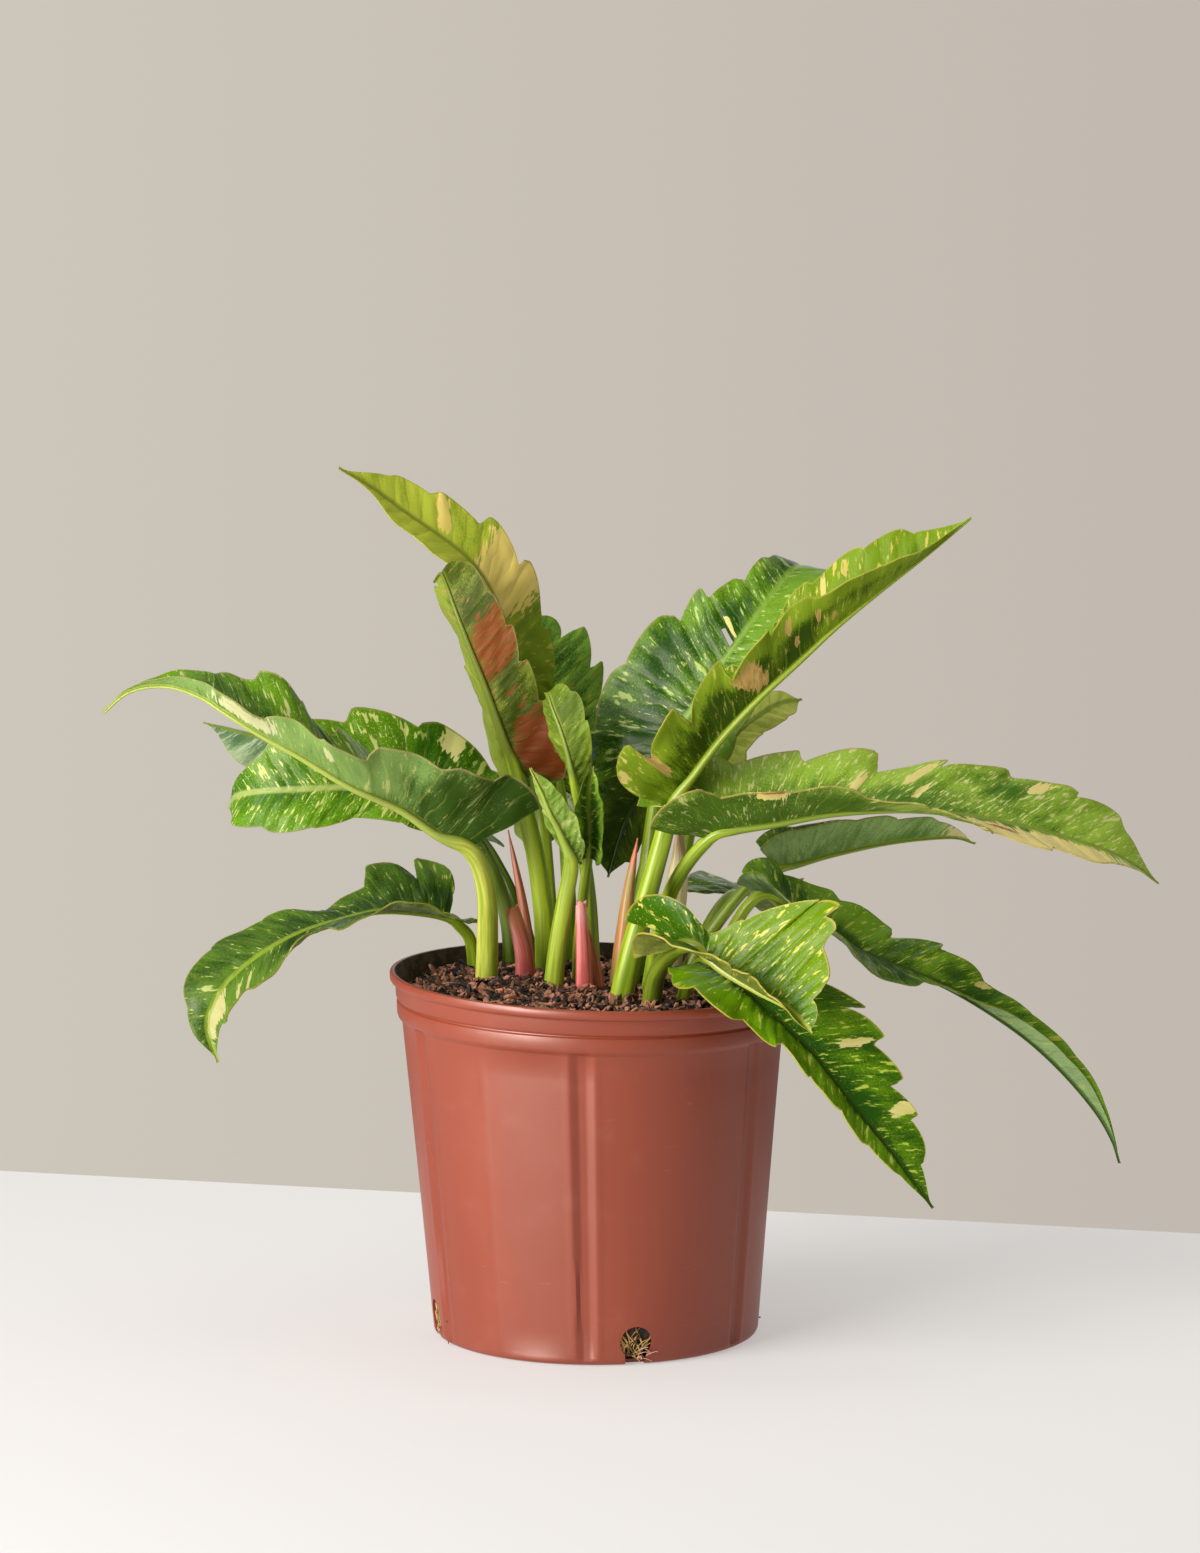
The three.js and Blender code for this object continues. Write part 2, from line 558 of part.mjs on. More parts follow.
    right: { ears: 60, width: [42, 34, 30, 26, 16], lift: [30, 80, 100, 100, 90, 70], curl: -4, bite: [0.1, 0.1] },
  },
  {
    name: "leaf_right_low",
    stem: [[55, -32, 221], [60, -46, 242], [64, -56, 250]],
    rib: [[70, -64, 254], [89, -100, 248], [113, -116, 229], [138, -124, 205], [163, -130, 174],
      [188, -132, 143], [213, -132, 109]],
    radius: 5, face: [0.23, -0.9, 0.36], twist: [0, 0], teeth: 9, wave: 2, sweep: 34, seed: 987,
    left: { ears: 30, width: [34, 46, 54, 46, 29], lift: [10, 10, 10, 10, 10, 10], curl: -8, bite: [0.1, 0.24, 0.22, 0.1] },
    right: { ears: 20, width: [24, 36, 30, 24, 15], lift: [30, 30, 40, 44, 30, 20], curl: -10, bite: [0.1, 0.2, 0.15, 0.1] },
  },
  {
    name: "leaf_young_front",
    stem: [[-28, 0, 221], [-25, -5, 253], [-20, -10, 286]],
    rib: [[-16, -14, 312], [-22, -22, 331], [-29, -30, 346], [-35, -36, 362], [-42, -42, 377]],
    radius: 7, face: [0.6, 0.5, 0.5], twist: [0, 0], teeth: 4, wave: 1.5, sweep: 30, seed: 4,
    left: { ears: 10, width: [6, 12, 17, 15, 10], lift: [40, 34, 30, 30, 30, 30], curl: 10, bite: [0.1, 0.1] },
    right: { ears: 20, width: [12, 18, 18, 14, 9], lift: [10, 10, 10, 10, 10, 10], curl: 10, bite: [0.1, 0.1] },
  },
  {
    name: "leaf_young_cupped",
    stem: [[-12, 12, 221], [-11, 10, 257], [-8, 7, 290]],
    rib: [[-5, 3, 314], [-4, -2, 329], [-5, -4, 344], [-5, -8, 358], [-2, -6, 373]],
    radius: 4.5, face: [0.2, -1, 0.1], twist: [0, 0], teeth: 4, wave: 1, sweep: 30, seed: 6,
    left: { ears: 20, width: [12, 16, 17, 15, 10], lift: [40, 40, 34, 30, 30, 30], curl: 30, bite: [0.06, 0.06] },
    right: { ears: 20, width: [12, 16, 17, 15, 10], lift: [46, 46, 40, 30, 30, 30], curl: 40, bite: [0.06, 0.06] },
  },
  {
    name: "leaf_young_folded",
    stem: [[-4, 28, 221], [-5, 28, 261], [-7, 25, 301], [-10, 19, 338]],
    rib: [[-14, 13, 358], [-18, 11, 378], [-23, 11, 395], [-28, 14, 408], [-31, 20, 416], [-33, 30, 416]],
    radius: 4.5, face: [0.5, 0.8, 0.3], twist: [0, 0], teeth: 4, wave: 1.5, sweep: 30, seed: 7,
    left: { ears: 10, width: [8, 14, 21, 23, 17], lift: [40, 34, 20, 20, 20, 20], curl: 10, bite: [0.1, 0.1] },
    right: { ears: 10, width: [8, 14, 18, 18, 12], lift: [30, 30, 20, 20, 20, 20], curl: 10, bite: [0.1, 0.1] },
  },
  {
    name: "leaf_dark_centre",
    stem: [[-16, 88, 222], [-18, 104, 268], [-21, 116, 312]],
    rib: [[-24, 120, 340], [-27, 124, 366], [-31, 128, 396], [-38, 132, 426], [-46, 138, 456]],
    radius: 5.5, face: [0.3, -0.9, 0.2], twist: [0, 0], teeth: 5, wave: 3, sweep: 26, seed: 9,
    left: { ears: 36, width: [36, 40, 38, 34, 24], lift: [10, 10, 10, 10, 10, 10], curl: -10, bite: [0.34, 0.34] },
    right: { ears: 30, width: [36, 46, 46, 44, 34], lift: [10, 10, 10, 10, 10, 10], curl: -10, bite: [0.34, 0.34] },
  },
  {
    name: "leaf_back_right",
    stem: [[40, 80, 222], [54, 88, 278], [66, 94, 330]],
    rib: [[79, 99, 361], [92, 104, 379], [107, 110, 390], [122, 116, 398], [137, 124, 400]],
    radius: 5, face: [0, -0.3, 1], twist: [0, 0], teeth: 4, wave: 1.5, sweep: 34, seed: 10,
    left: { ears: 10, width: [20, 18, 15, 15, 13], lift: [20, 20, 20, 20, 20, 20], curl: -10, bite: [0.1, 0.1] },
    right: { ears: 10, width: [22, 18, 16, 16, 14], lift: [-20, -20, -24, -24, -20, -20], curl: -10, bite: [0.1, 0.1] },
  },
  {
    name: "leaf_hanging_centre",
    stem: [[14, 66, 222], [30, 78, 286], [40, 84, 330]],
    rib: [[40, 80, 352], [32, 68, 348], [22, 58, 334], [14, 52, 314], [8, 50, 292]],
    radius: 4.5, face: [-0.4, -0.6, 0.7], twist: [0, 0], teeth: 5, wave: 2, sweep: 34, seed: 14,
    left: { ears: 40, width: [26, 32, 32, 26, 16], lift: [10, 10, 10, 10, 10, 10], curl: -10, bite: [0.12, 0.12] },
    right: { ears: 40, width: [28, 34, 34, 28, 16], lift: [10, 10, 10, 10, 10, 10], curl: -10, bite: [0.12, 0.12] },
  },
  {
    name: "leaf_back_arching",
    stem: [[-2, 96, 222], [-4, 118, 262], [-8, 140, 292]],
    rib: [[-12, 164, 308], [-18, 200, 318], [-26, 240, 316], [-34, 276, 300], [-40, 300, 276], [-43, 312, 250]],
    radius: 5.5, face: [0, 0, 1], twist: [0, 0], teeth: 7, wave: 3, sweep: 36, seed: 15,
    left: { ears: 44, width: [40, 44, 42, 36, 22], lift: [22, 20, 22, 24, 26, 26], curl: -12, bite: [0.13, 0.13] },
    right: { ears: 44, width: [42, 44, 42, 36, 22], lift: [22, 20, 22, 24, 26, 26], curl: -12, bite: [0.13, 0.13] },
  },
  {
    name: "leaf_back_low",
    stem: [[62, 68, 221], [72, 92, 246], [82, 116, 260]],
    rib: [[92, 138, 266], [106, 168, 264], [120, 198, 252], [132, 226, 232], [140, 248, 206]],
    radius: 5, face: [0, 0, 1], twist: [0, 0], teeth: 7, wave: 3, sweep: 36, seed: 16,
    left: { ears: 44, width: [38, 40, 38, 32, 20], lift: [18, 16, 18, 20, 22, 22], curl: -12, bite: [0.13, 0.13] },
    right: { ears: 44, width: [38, 40, 38, 32, 20], lift: [18, 16, 18, 20, 22, 22], curl: -12, bite: [0.13, 0.13] },
  },
];

// Sheaths: scale leaves that stand in the soil, hollowed on the side that faces their stem

const SHEATHS = [
  { name: "sheath_pink_left", material: "sheath", line: [[-47, 25, 222], [-50, 24, 248], [-54, 23, 272]],
    width: 12, thick: 3.2, face: [1, -0.3, 0] },
  { name: "sheath_pink_front", material: "sheath", line: [[-7, -10, 222], [-6, -11, 252], [-9, -11, 283]],
    width: 8, thick: 2.6, face: [0.3, -1, 0] },
  { name: "sheath_brown_front", material: "spear", line: [[1, 10, 222], [-1, 10, 244], [-3, 10, 266]],
    width: 7, thick: 2, face: [0.2, -1, 0] },
  { name: "spear_orange", material: "spear", line: [[14, 2, 222], [18, 0, 262], [22, -2, 296], [27, -4, 326]],
    width: 6.4, thick: 5, face: [0, -1, 0] },
  { name: "sheath_rust_back", material: "sheath", line: [[-42, 66, 222], [-48, 68, 268], [-58, 70, 320]],
    width: 4.2, thick: 1.8, face: [0, -1, 0] },
  { name: "husk_cream", material: "husk", line: [[48, 34, 222], [50, 30, 262], [54, 28, 300], [54, 28, 326]],
    width: 9, thick: 1.8, face: [0.3, -1, 0] },
];

function sheathCurve(spec) {
  const points = spec.line.map((p) => new THREE.Vector3(...p));
  const into = points[0].clone().sub(points[1]).normalize();
  points.unshift(points[0].clone().addScaledVector(into, BURIED));
  return new THREE.CatmullRomCurve3(points, false, "catmullrom", 0.5);
}

function sheathRings(spec, shares, extra) {
  const curve = sheathCurve(spec);
  const face = new THREE.Vector3(...spec.face);
  return shares.map((share) => {
    const forward = curve.getTangentAt(share);
    const normal = face.clone().addScaledVector(forward, -face.dot(forward)).normalize();
    const right = forward.clone().cross(normal);
    const taper = Math.pow(1 - Math.pow(share, 2.2), 0.8);
    const width = Math.max(spec.width * taper, 0.9);
    const thick = Math.max(spec.thick * Math.min(taper * 1.3, 1), 0.8);
    const centre = curve.getPointAt(share);
    return Array.from({ length: 8 }, (_, k) => {
      const turn = (k / 8) * 2 * Math.PI;
      const side = Math.cos(turn);
      return centre
        .clone()
        .addScaledVector(right, (width + extra) * side)
        .addScaledVector(normal, -(thick + extra) * Math.sin(turn) - 0.32 * (width - thick) * side * side);
    });
  });
}

function sheath(spec) {
  return solidOf(loft(sheathRings(spec, [0, 0.16, 0.3, 0.5, 0.7, 0.88, 1], 0)));
}

function sheathHole(spec) {
  const length = sheathCurve(spec).getLength();
  const rings = sheathRings(spec, [0, BURIED / length, (BURIED + 12) / length], 2 * GAP);
  const down = rings[0][0].clone().sub(rings[1][0]).normalize().multiplyScalar(GAP);
  rings[0].forEach((p) => p.add(down));
  return solidOf(loft(rings));
}

// Assembly

function meshOf(name, solid, material) {
  const mesh = new THREE.Mesh(geometryOf(solid), material);
  mesh.name = name;
  return mesh;
}

const plant = new THREE.Group();
plant.name = "potted_philodendron";
plant.add(meshOf("pot", pot(), COLOURS.pot));

let bed = soil();
const foliage = new THREE.Group();
foliage.name = "foliage";
for (const leaf of LEAVES) {
  const line = new LeafLine(leaf.stem, leaf.rib);
  foliage.add(meshOf(leaf.name, stem(leaf, line).add(blade(leaf, line)), COLOURS.leaf));
  bed = bed.subtract(stemHole(leaf, line));
}
for (const spec of SHEATHS) {
  foliage.add(meshOf(spec.name, sheath(spec), COLOURS[spec.material]));
  bed = bed.subtract(sheathHole(spec));
}
plant.add(meshOf("soil", bed, COLOURS.soil));
plant.add(foliage);

export default plant;
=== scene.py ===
"""A variegated philodendron in a soft terracotta-coloured nursery pot.

Metres, +Z up, with the pot's foot on the ground at the origin and the front towards -Y. Leaf
shapes are worked out in millimetres from the growth values that their solids are made of.
"""

import logging
import math
from collections.abc import Callable, Iterator
from contextlib import contextmanager
from dataclasses import dataclass, field
from enum import Enum
from functools import cache
from typing import ClassVar, TypeAlias

import bpy
import numpy as np
from mathutils import Euler, Matrix, Vector


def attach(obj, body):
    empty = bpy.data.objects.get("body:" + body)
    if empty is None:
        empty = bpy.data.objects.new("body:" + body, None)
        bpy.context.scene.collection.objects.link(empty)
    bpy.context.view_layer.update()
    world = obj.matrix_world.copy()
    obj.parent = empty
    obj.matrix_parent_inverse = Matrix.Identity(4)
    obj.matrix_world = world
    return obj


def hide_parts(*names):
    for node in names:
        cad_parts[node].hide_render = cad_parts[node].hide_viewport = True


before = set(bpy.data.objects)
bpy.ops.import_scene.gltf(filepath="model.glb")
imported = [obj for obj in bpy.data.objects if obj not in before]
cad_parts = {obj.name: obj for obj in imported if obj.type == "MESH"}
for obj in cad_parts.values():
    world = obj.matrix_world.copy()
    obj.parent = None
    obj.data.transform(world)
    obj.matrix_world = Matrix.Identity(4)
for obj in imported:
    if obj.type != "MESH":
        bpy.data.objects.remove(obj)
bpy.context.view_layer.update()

log = logging.getLogger("philodendron")

Piece: TypeAlias = bpy.types.Object
Socket: TypeAlias = bpy.types.NodeSocket
Material: TypeAlias = bpy.types.Material
Pair: TypeAlias = tuple[float, float]
Triple: TypeAlias = tuple[float, float, float]
Colour: TypeAlias = tuple[int, int, int]  # red, green and blue as displayed, from 0 to 255


# Leaf shapes

MM = 0.001
BURIED = 22.0  # length of each stem below the soil's surface
BLADE_THICKNESS = 1.0
STOUT_WIDTH = 26.0  # where a half blade is this wide, it has its full thickness
TOOTH_POINT = 0.66  # where a tooth's point stands between its two notches
TOOTH_ROWS = (0, 0.05, 0.11, 0.18, 0.26, 0.35, 0.45, 0.55, 0.66, 0.74, 0.82, 0.89, 0.95)
ROW_SPACING = 1.3  # the power by which rows crowd towards the blade's base
HALF_COLUMNS = 20
VEINS_PER_TOOTH = 3
STALK_SIDES = 18
STEM_RINGS, RIB_RINGS = 40, 80
NECK = 0.72  # the stem's radius where its blade starts, as a share of that in the soil
RIB_START, RIB_END = 0.66, 0.1  # the midrib's radius at its two ends, in the same shares
FINEST_RIB = 0.6
SHORTEST_VEIN = 1.2
QUILTING = 0.7  # how far the blade swells between its side veins
PUCKERS = 1.6  # how much stronger its uneven puckers are than that
FRAME_STEPS = 240
LINE_SAMPLES = 201
EARS_END = 0.42  # the veins have turned from the ears to the leaf's sweep by this share
OTHER_HALF = 11  # what the right half's teeth add to the leaf's seed
MAP_UNIT = 100.0  # millimetres to one unit of a leaf's surface map
LEVEL = (10,) * 6  # the lift of a half blade that lies nearly flat


@dataclass(frozen=True)
class Half:
    """One half of a blade, in millimetres and degrees, at even places from its base to its tip.

    ears is how far the base sweeps back, width the veins' lengths, lift their rise from the midrib,
    curl the bend along a vein, and bite how deep the notches are as a share of the width.
    """

    ears: float
    width: tuple[float, ...]
    lift: tuple[float, ...]
    curl: float
    bite: tuple[float, ...]


@dataclass(frozen=True, kw_only=True)
class Growth:
    """The shape of one leaf: its stem's and midrib's points, in millimetres, and its two halves.

    face is the way that the blade's upper side looks at its base, and twist how far it has turned
    by each place along the blade. wave is the margin's waving in millimetres, and sweep the veins'
    lean towards the tip. Angles are in degrees.
    """

    stem: tuple[Triple, ...]
    rib: tuple[Triple, ...]
    radius: float
    face: Triple = (0, 0, 1)
    twist: tuple[float, ...] = (0, 0)
    teeth: int
    wave: float
    sweep: float
    seed: int
    left: Half
    right: Half


def scatter(index: float, seed: float) -> float:
    """A repeatable scatter value.

    Args:
        index: The number of the thing that is scattered.
        seed: The row of values that it belongs to.

    Returns:
        A value from 0 to 1.
    """
    wave = math.sin(index * 12.9898 + seed * 78.233) * 43758.5453
    return wave - math.floor(wave)


def keyed(values: tuple[float, ...], share: float) -> float:
    """A smooth curve through evenly spaced values.

    Args:
        values: The values from the start to the end.
        share: The place to read, from 0 to 1.

    Returns:
        The curve's value there.
    """
    last = len(values) - 1
    place = min(max(share, 0.0), 1.0) * last
    index = min(int(place), last - 1)
    before, start, end, after = (values[min(max(index + k, 0), last)] for k in (-1, 0, 1, 2))
    t = place - index
    leave, arrive = (end - before) / 2, (after - start) / 2
    return (
        (2 * t**3 - 3 * t**2 + 1) * start
        + (t**3 - 2 * t**2 + t) * leave
        + (-2 * t**3 + 3 * t**2) * end
        + (t**3 - t**2) * arrive
    )


def smooth(value: float, low: float, high: float) -> float:
    """A smooth step.

    Args:
        value: The value to read.
        low: Where the step starts.
        high: Where it ends.

    Returns:
        0 below low, 1 above high, and a smooth rise between them.
    """
    t = np.clip((value - low) / (high - low), 0.0, 1.0)
    return t * t * (3 - 2 * t)


def lerp(start: float, end: float, share: float) -> float:
    """The value at a share of the way from start to end."""
    return start + (end - start) * share


class GrowthLine:
    """A smooth line through points, with places measured along its length."""

    def __init__(self, points: tuple[Triple, ...]) -> None:
        """Takes the line's points above the soil and roots it BURIED deep.

        Args:
            points: The points that the line passes through, in millimetres.
        """
        above = np.array(points, float)
        into = above[0] - above[1]
        self.points = np.vstack([above[0] + into / np.linalg.norm(into) * BURIED, above])
        self.marks = np.linspace(0, 1, LINE_SAMPLES)
        places = np.array([self.point(mark) for mark in self.marks])
        steps = np.linalg.norm(np.diff(places, axis=0), axis=1)
        self.lengths = np.concatenate([[0.0], np.cumsum(steps)])
        self.length = float(self.lengths[-1])

    def point(self, mark: float) -> np.ndarray:
        """A point of the line.

        Args:
            mark: The place, counted evenly over the line's points, from 0 to 1.

        Returns:
            The point there, in millimetres.
        """
        last = len(self.points) - 1
        place = min(max(mark, 0.0), 1.0) * last
        index = min(int(place), last - 1)
        t = place - index
        start, end = self.points[index], self.points[index + 1]
        before = self.points[index - 1] if index > 0 else 2 * start - end
        after = self.points[index + 2] if index + 2 <= last else 2 * end - start
        leave, arrive = (end - before) / 2, (after - start) / 2
        return (
            start
            + leave * t
            + (-3 * start + 3 * end - 2 * leave - arrive) * t**2
            + (2 * start - 2 * end + leave + arrive) * t**3
        )

    def mark_at(self, share: float) -> float:
        """The mark of the place at a share of the line's length."""
        return float(np.interp(share * self.length, self.lengths, self.marks))

    def at(self, share: float) -> np.ndarray:
        """The point at a share of the line's length, in millimetres."""
        return self.point(self.mark_at(share))

    def heading(self, share: float) -> np.ndarray:
        """The direction of the line at a share of its length.

        Args:
            share: The place, as a share of the line's length.

        Returns:
            The direction there, at unit length.
        """
        mark = self.mark_at(share)
        ahead = self.point(min(mark + 1e-3, 1.0)) - self.point(max(mark - 1e-3, 0.0))
        return ahead / np.linalg.norm(ahead)


def upright_to(direction: np.ndarray, heading: np.ndarray) -> np.ndarray:
    """The part of a direction that stands square to a heading, at unit length."""
    square = direction - heading * float(direction @ heading)
    return square / np.linalg.norm(square)


class LeafShape:
    """The surfaces of one leaf, worked out from its growth."""

    def __init__(self, growth: Growth) -> None:
        """Settles the leaf's line and where its blade starts on it.

        Args:
            growth: The leaf's shape values.
        """
        self.growth = growth
        self.line = GrowthLine(growth.stem + growth.rib)
        first = (len(growth.stem) + 1) / (len(growth.stem) + len(growth.rib))
        self.base = float(np.interp(first, self.line.marks, self.line.lengths)) / self.line.length
        self.soil = BURIED / self.line.length
        starts = range(growth.teeth)
        parts = [(tooth + part) / growth.teeth for tooth in starts for part in TOOTH_ROWS]
        self.rows = np.array([*parts, 1.0])
        self.places = self.rows**ROW_SPACING
        # The columns stand closer together towards the margins.
        even = np.linspace(-1, 1, 2 * HALF_COLUMNS + 1)
        self.columns = even * (1.25 - 0.25 * even * even)

    def stalk_radius(self, share: float) -> float:
        """The stem's or midrib's radius at a share of the leaf's line, in millimetres.

        Args:
            share: The place, as a share of the line's length.

        Returns:
            The radius.
        """
        if share < self.base:
            return self.growth.radius * lerp(1, NECK, share / self.base)
        along = (share - self.base) / (1 - self.base)
        return max(self.growth.radius * lerp(RIB_START, RIB_END, along**0.75), FINEST_RIB)

    def frames(self) -> list[tuple[np.ndarray, np.ndarray, np.ndarray, np.ndarray]]:
        """The blade's frames, one for each row.

        Returns:
            The origin, the heading, the upper side's normal and the direction to the right half.
        """
        # The upper side's direction is carried along the line, so that the blade doesn't spin.
        normal = np.array(self.growth.face, float)
        carried = []
        for step in range(FRAME_STEPS + 1):
            heading = self.line.heading(lerp(self.base, 1, step / FRAME_STEPS))
            normal = upright_to(normal, heading)
            carried.append(normal)
        frames = []
        for along in self.places:
            share = lerp(self.base, 1, along)
            heading = self.line.heading(share)
            step = min(int(along * FRAME_STEPS), FRAME_STEPS - 1)
            near = lerp(carried[step], carried[step + 1], along * FRAME_STEPS - step)
            upper = upright_to(near, heading)
            turn = math.radians(keyed(self.growth.twist, along))
            upper = upper * math.cos(turn) + np.cross(heading, upper) * math.sin(turn)
            frames.append((self.line.at(share), heading, upper, np.cross(heading, upper)))
        return frames

    def vein(self, side: int, q: float) -> tuple[float, float, float, float]:
        """A vein of one half.

        Args:
            side: 1 for the right half and -1 for the left.
            q: The row's place from the base, 0, to the tip, 1.

        Returns:
            The vein's length, its sweep in degrees, its tooth's spur and its margin's ripple.
        """
        growth = self.growth
        half = growth.right if side > 0 else growth.left
        place = q * growth.teeth
        index = math.floor(place + 1e-9)
        own = growth.seed + (OTHER_HALF if side > 0 else 0)
        depth = max(keyed(half.bite, q), 0) * (0.5 + 0.9 * scatter(index, own))
        share = min(max(place - index, 0.0), 1.0)
        near = share / TOOTH_POINT if share < TOOTH_POINT else (1 - share) / (1 - TOOTH_POINT)
        tooth = math.sin(near * math.pi / 2)
        outline = keyed((*half.width, 0), q)
        length = max(outline * (1 - depth * (1 - tooth)), SHORTEST_VEIN)
        sweep = lerp(-half.ears, growth.sweep, smooth(q, 0, EARS_END))
        spur = 0.6 * outline * depth * tooth**3 * smooth(q, 0.01, 0.14)
        swell = growth.wave * smooth(q, 0, 0.08) * (1 - q * q)
        ripple = swell * math.sin(math.pi * place * 1.1 + own * 1.7)
        flutter = 0.2 * swell * math.sin(math.pi * place * 3.7 + own * 2.3)
        return length, sweep, spur, ripple + flutter

    def vein_number(self, t: np.ndarray, q: np.ndarray) -> np.ndarray:
        """How many side veins of column t's half lie between the blade's base and row q."""
        return q * self.growth.teeth * VEINS_PER_TOOTH + np.where(t > 0, 0.5, 0.0)

    def blade(self) -> tuple[np.ndarray, np.ndarray]:
        """The blade's middle surface.

        Returns:
            Its points by row and column in millimetres, and each one's distance from the midrib
            along its vein, negative on the left half.
        """
        points = np.zeros((len(self.rows), len(self.columns), 3))
        reach = np.zeros((len(self.rows), len(self.columns)))
        for i, (q, (origin, heading, upper, right)) in enumerate(zip(self.rows, self.frames())):
            for side in (-1, 1):
                chosen = self.columns * side >= 0
                t = np.abs(self.columns[chosen])
                half = self.growth.right if side > 0 else self.growth.left
                length, sweep, spur, ripple = self.vein(side, q)
                # The vein is an arc of a circle, so a curl of nothing is a very slight one.
                lift, curl = math.radians(keyed(half.lift, q)), math.radians(half.curl) or 1e-4
                lean, end = math.radians(sweep), lift + curl * t
                across = (np.sin(end) - math.sin(lift)) / curl * length * math.cos(lean)
                rise = (math.cos(lift) - np.cos(end)) / curl * length * math.cos(lean)
                ahead = length * math.sin(lean) * t + spur * t * t
                across = side * (across - np.sin(end) * ripple * t * t)
                rise = rise + np.cos(end) * ripple * t * t
                flat = origin + np.outer(across, right)
                points[i, chosen] = flat + np.outer(rise, upper) + np.outer(ahead, heading)
                reach[i, chosen] = side * t * length
        return self.quilted(points), reach

    def quilted(self, points: np.ndarray) -> np.ndarray:
        """Raises the blade a little between its side veins.

        Args:
            points: The middle surface's points by row and column.

        Returns:
            The points with the soft pleats that the side veins draw.
        """
        along = np.gradient(points, axis=0)
        across = np.gradient(points, axis=1)
        normals = np.cross(across, along)
        normals /= np.maximum(np.linalg.norm(normals, axis=2, keepdims=True), 1e-9)
        raised, seed = np.zeros(points.shape[:2]), self.growth.seed
        for j, t in enumerate(self.columns):
            fade = smooth(abs(t), 0.04, 0.2) * (1 - smooth(abs(t), 0.8, 1.0)) * QUILTING
            for i, q in enumerate(self.rows):
                number = float(self.vein_number(t, q))
                swell = abs(math.sin(math.pi * number)) ** 0.7 - 0.6
                uneven = 0.6 + 0.8 * scatter(int(number), 5)
                raised[i, j] = fade * swell * (1 - smooth(q, 0.8, 1.0)) * uneven
                pucker = math.sin(q * 41 + t * 3 + seed) * math.sin(t * 8 + q * 17 + seed)
                raised[i, j] += PUCKERS * fade * pucker * (1 - q)
        return points + normals * raised[..., None]

    def stalk(self) -> tuple[np.ndarray, np.ndarray]:
        """The stem and midrib as a tube.

        Returns:
            Its points by ring and side in millimetres, closed at both ends, and each ring's place
            along the leaf's line in millimetres.
        """
        below = np.linspace(0, self.base, STEM_RINGS)
        shares = [*below, *np.linspace(self.base, 1, RIB_RINGS + 1)[1:]]
        shares = np.array([shares[0], *shares, shares[-1]])
        turns = np.linspace(0, 2 * math.pi, STALK_SIDES + 1)
        normal = np.array(self.growth.face, float)
        rings = np.zeros((len(shares), len(turns), 3))
        frames = self.frames()
        for i, share in enumerate(shares):
            heading = self.line.heading(share)
            normal = upright_to(normal, heading)
            upper = normal
            flat = float(smooth(share, self.base, self.base + 0.07))
            if share > self.base:
                along = (share - self.base) / (1 - self.base)
                row = int(np.argmin(np.abs(self.places - along)))
                upper = upright_to(lerp(normal, frames[row][2], flat), heading)
            right = np.cross(heading, upper)
            radius = self.stalk_radius(share) * (0.05 if i in (0, len(shares) - 1) else 1)
            ribs = 1 + 0.035 * np.cos(5 * turns + self.growth.seed) * (1 - flat)
            sunk = 0.36 * flat + 0.4 * float(smooth(share, 0.8, 0.97))
            centre = self.line.at(share) - upper * radius * sunk
            wide, high = radius * lerp(1, 0.9, flat) * ribs, radius * lerp(1, 0.64, flat) * ribs
            rings[i] = centre + np.outer(wide * np.cos(turns), right)
            rings[i] += np.outer(high * np.sin(turns), upper)
        return rings, shares * self.line.length


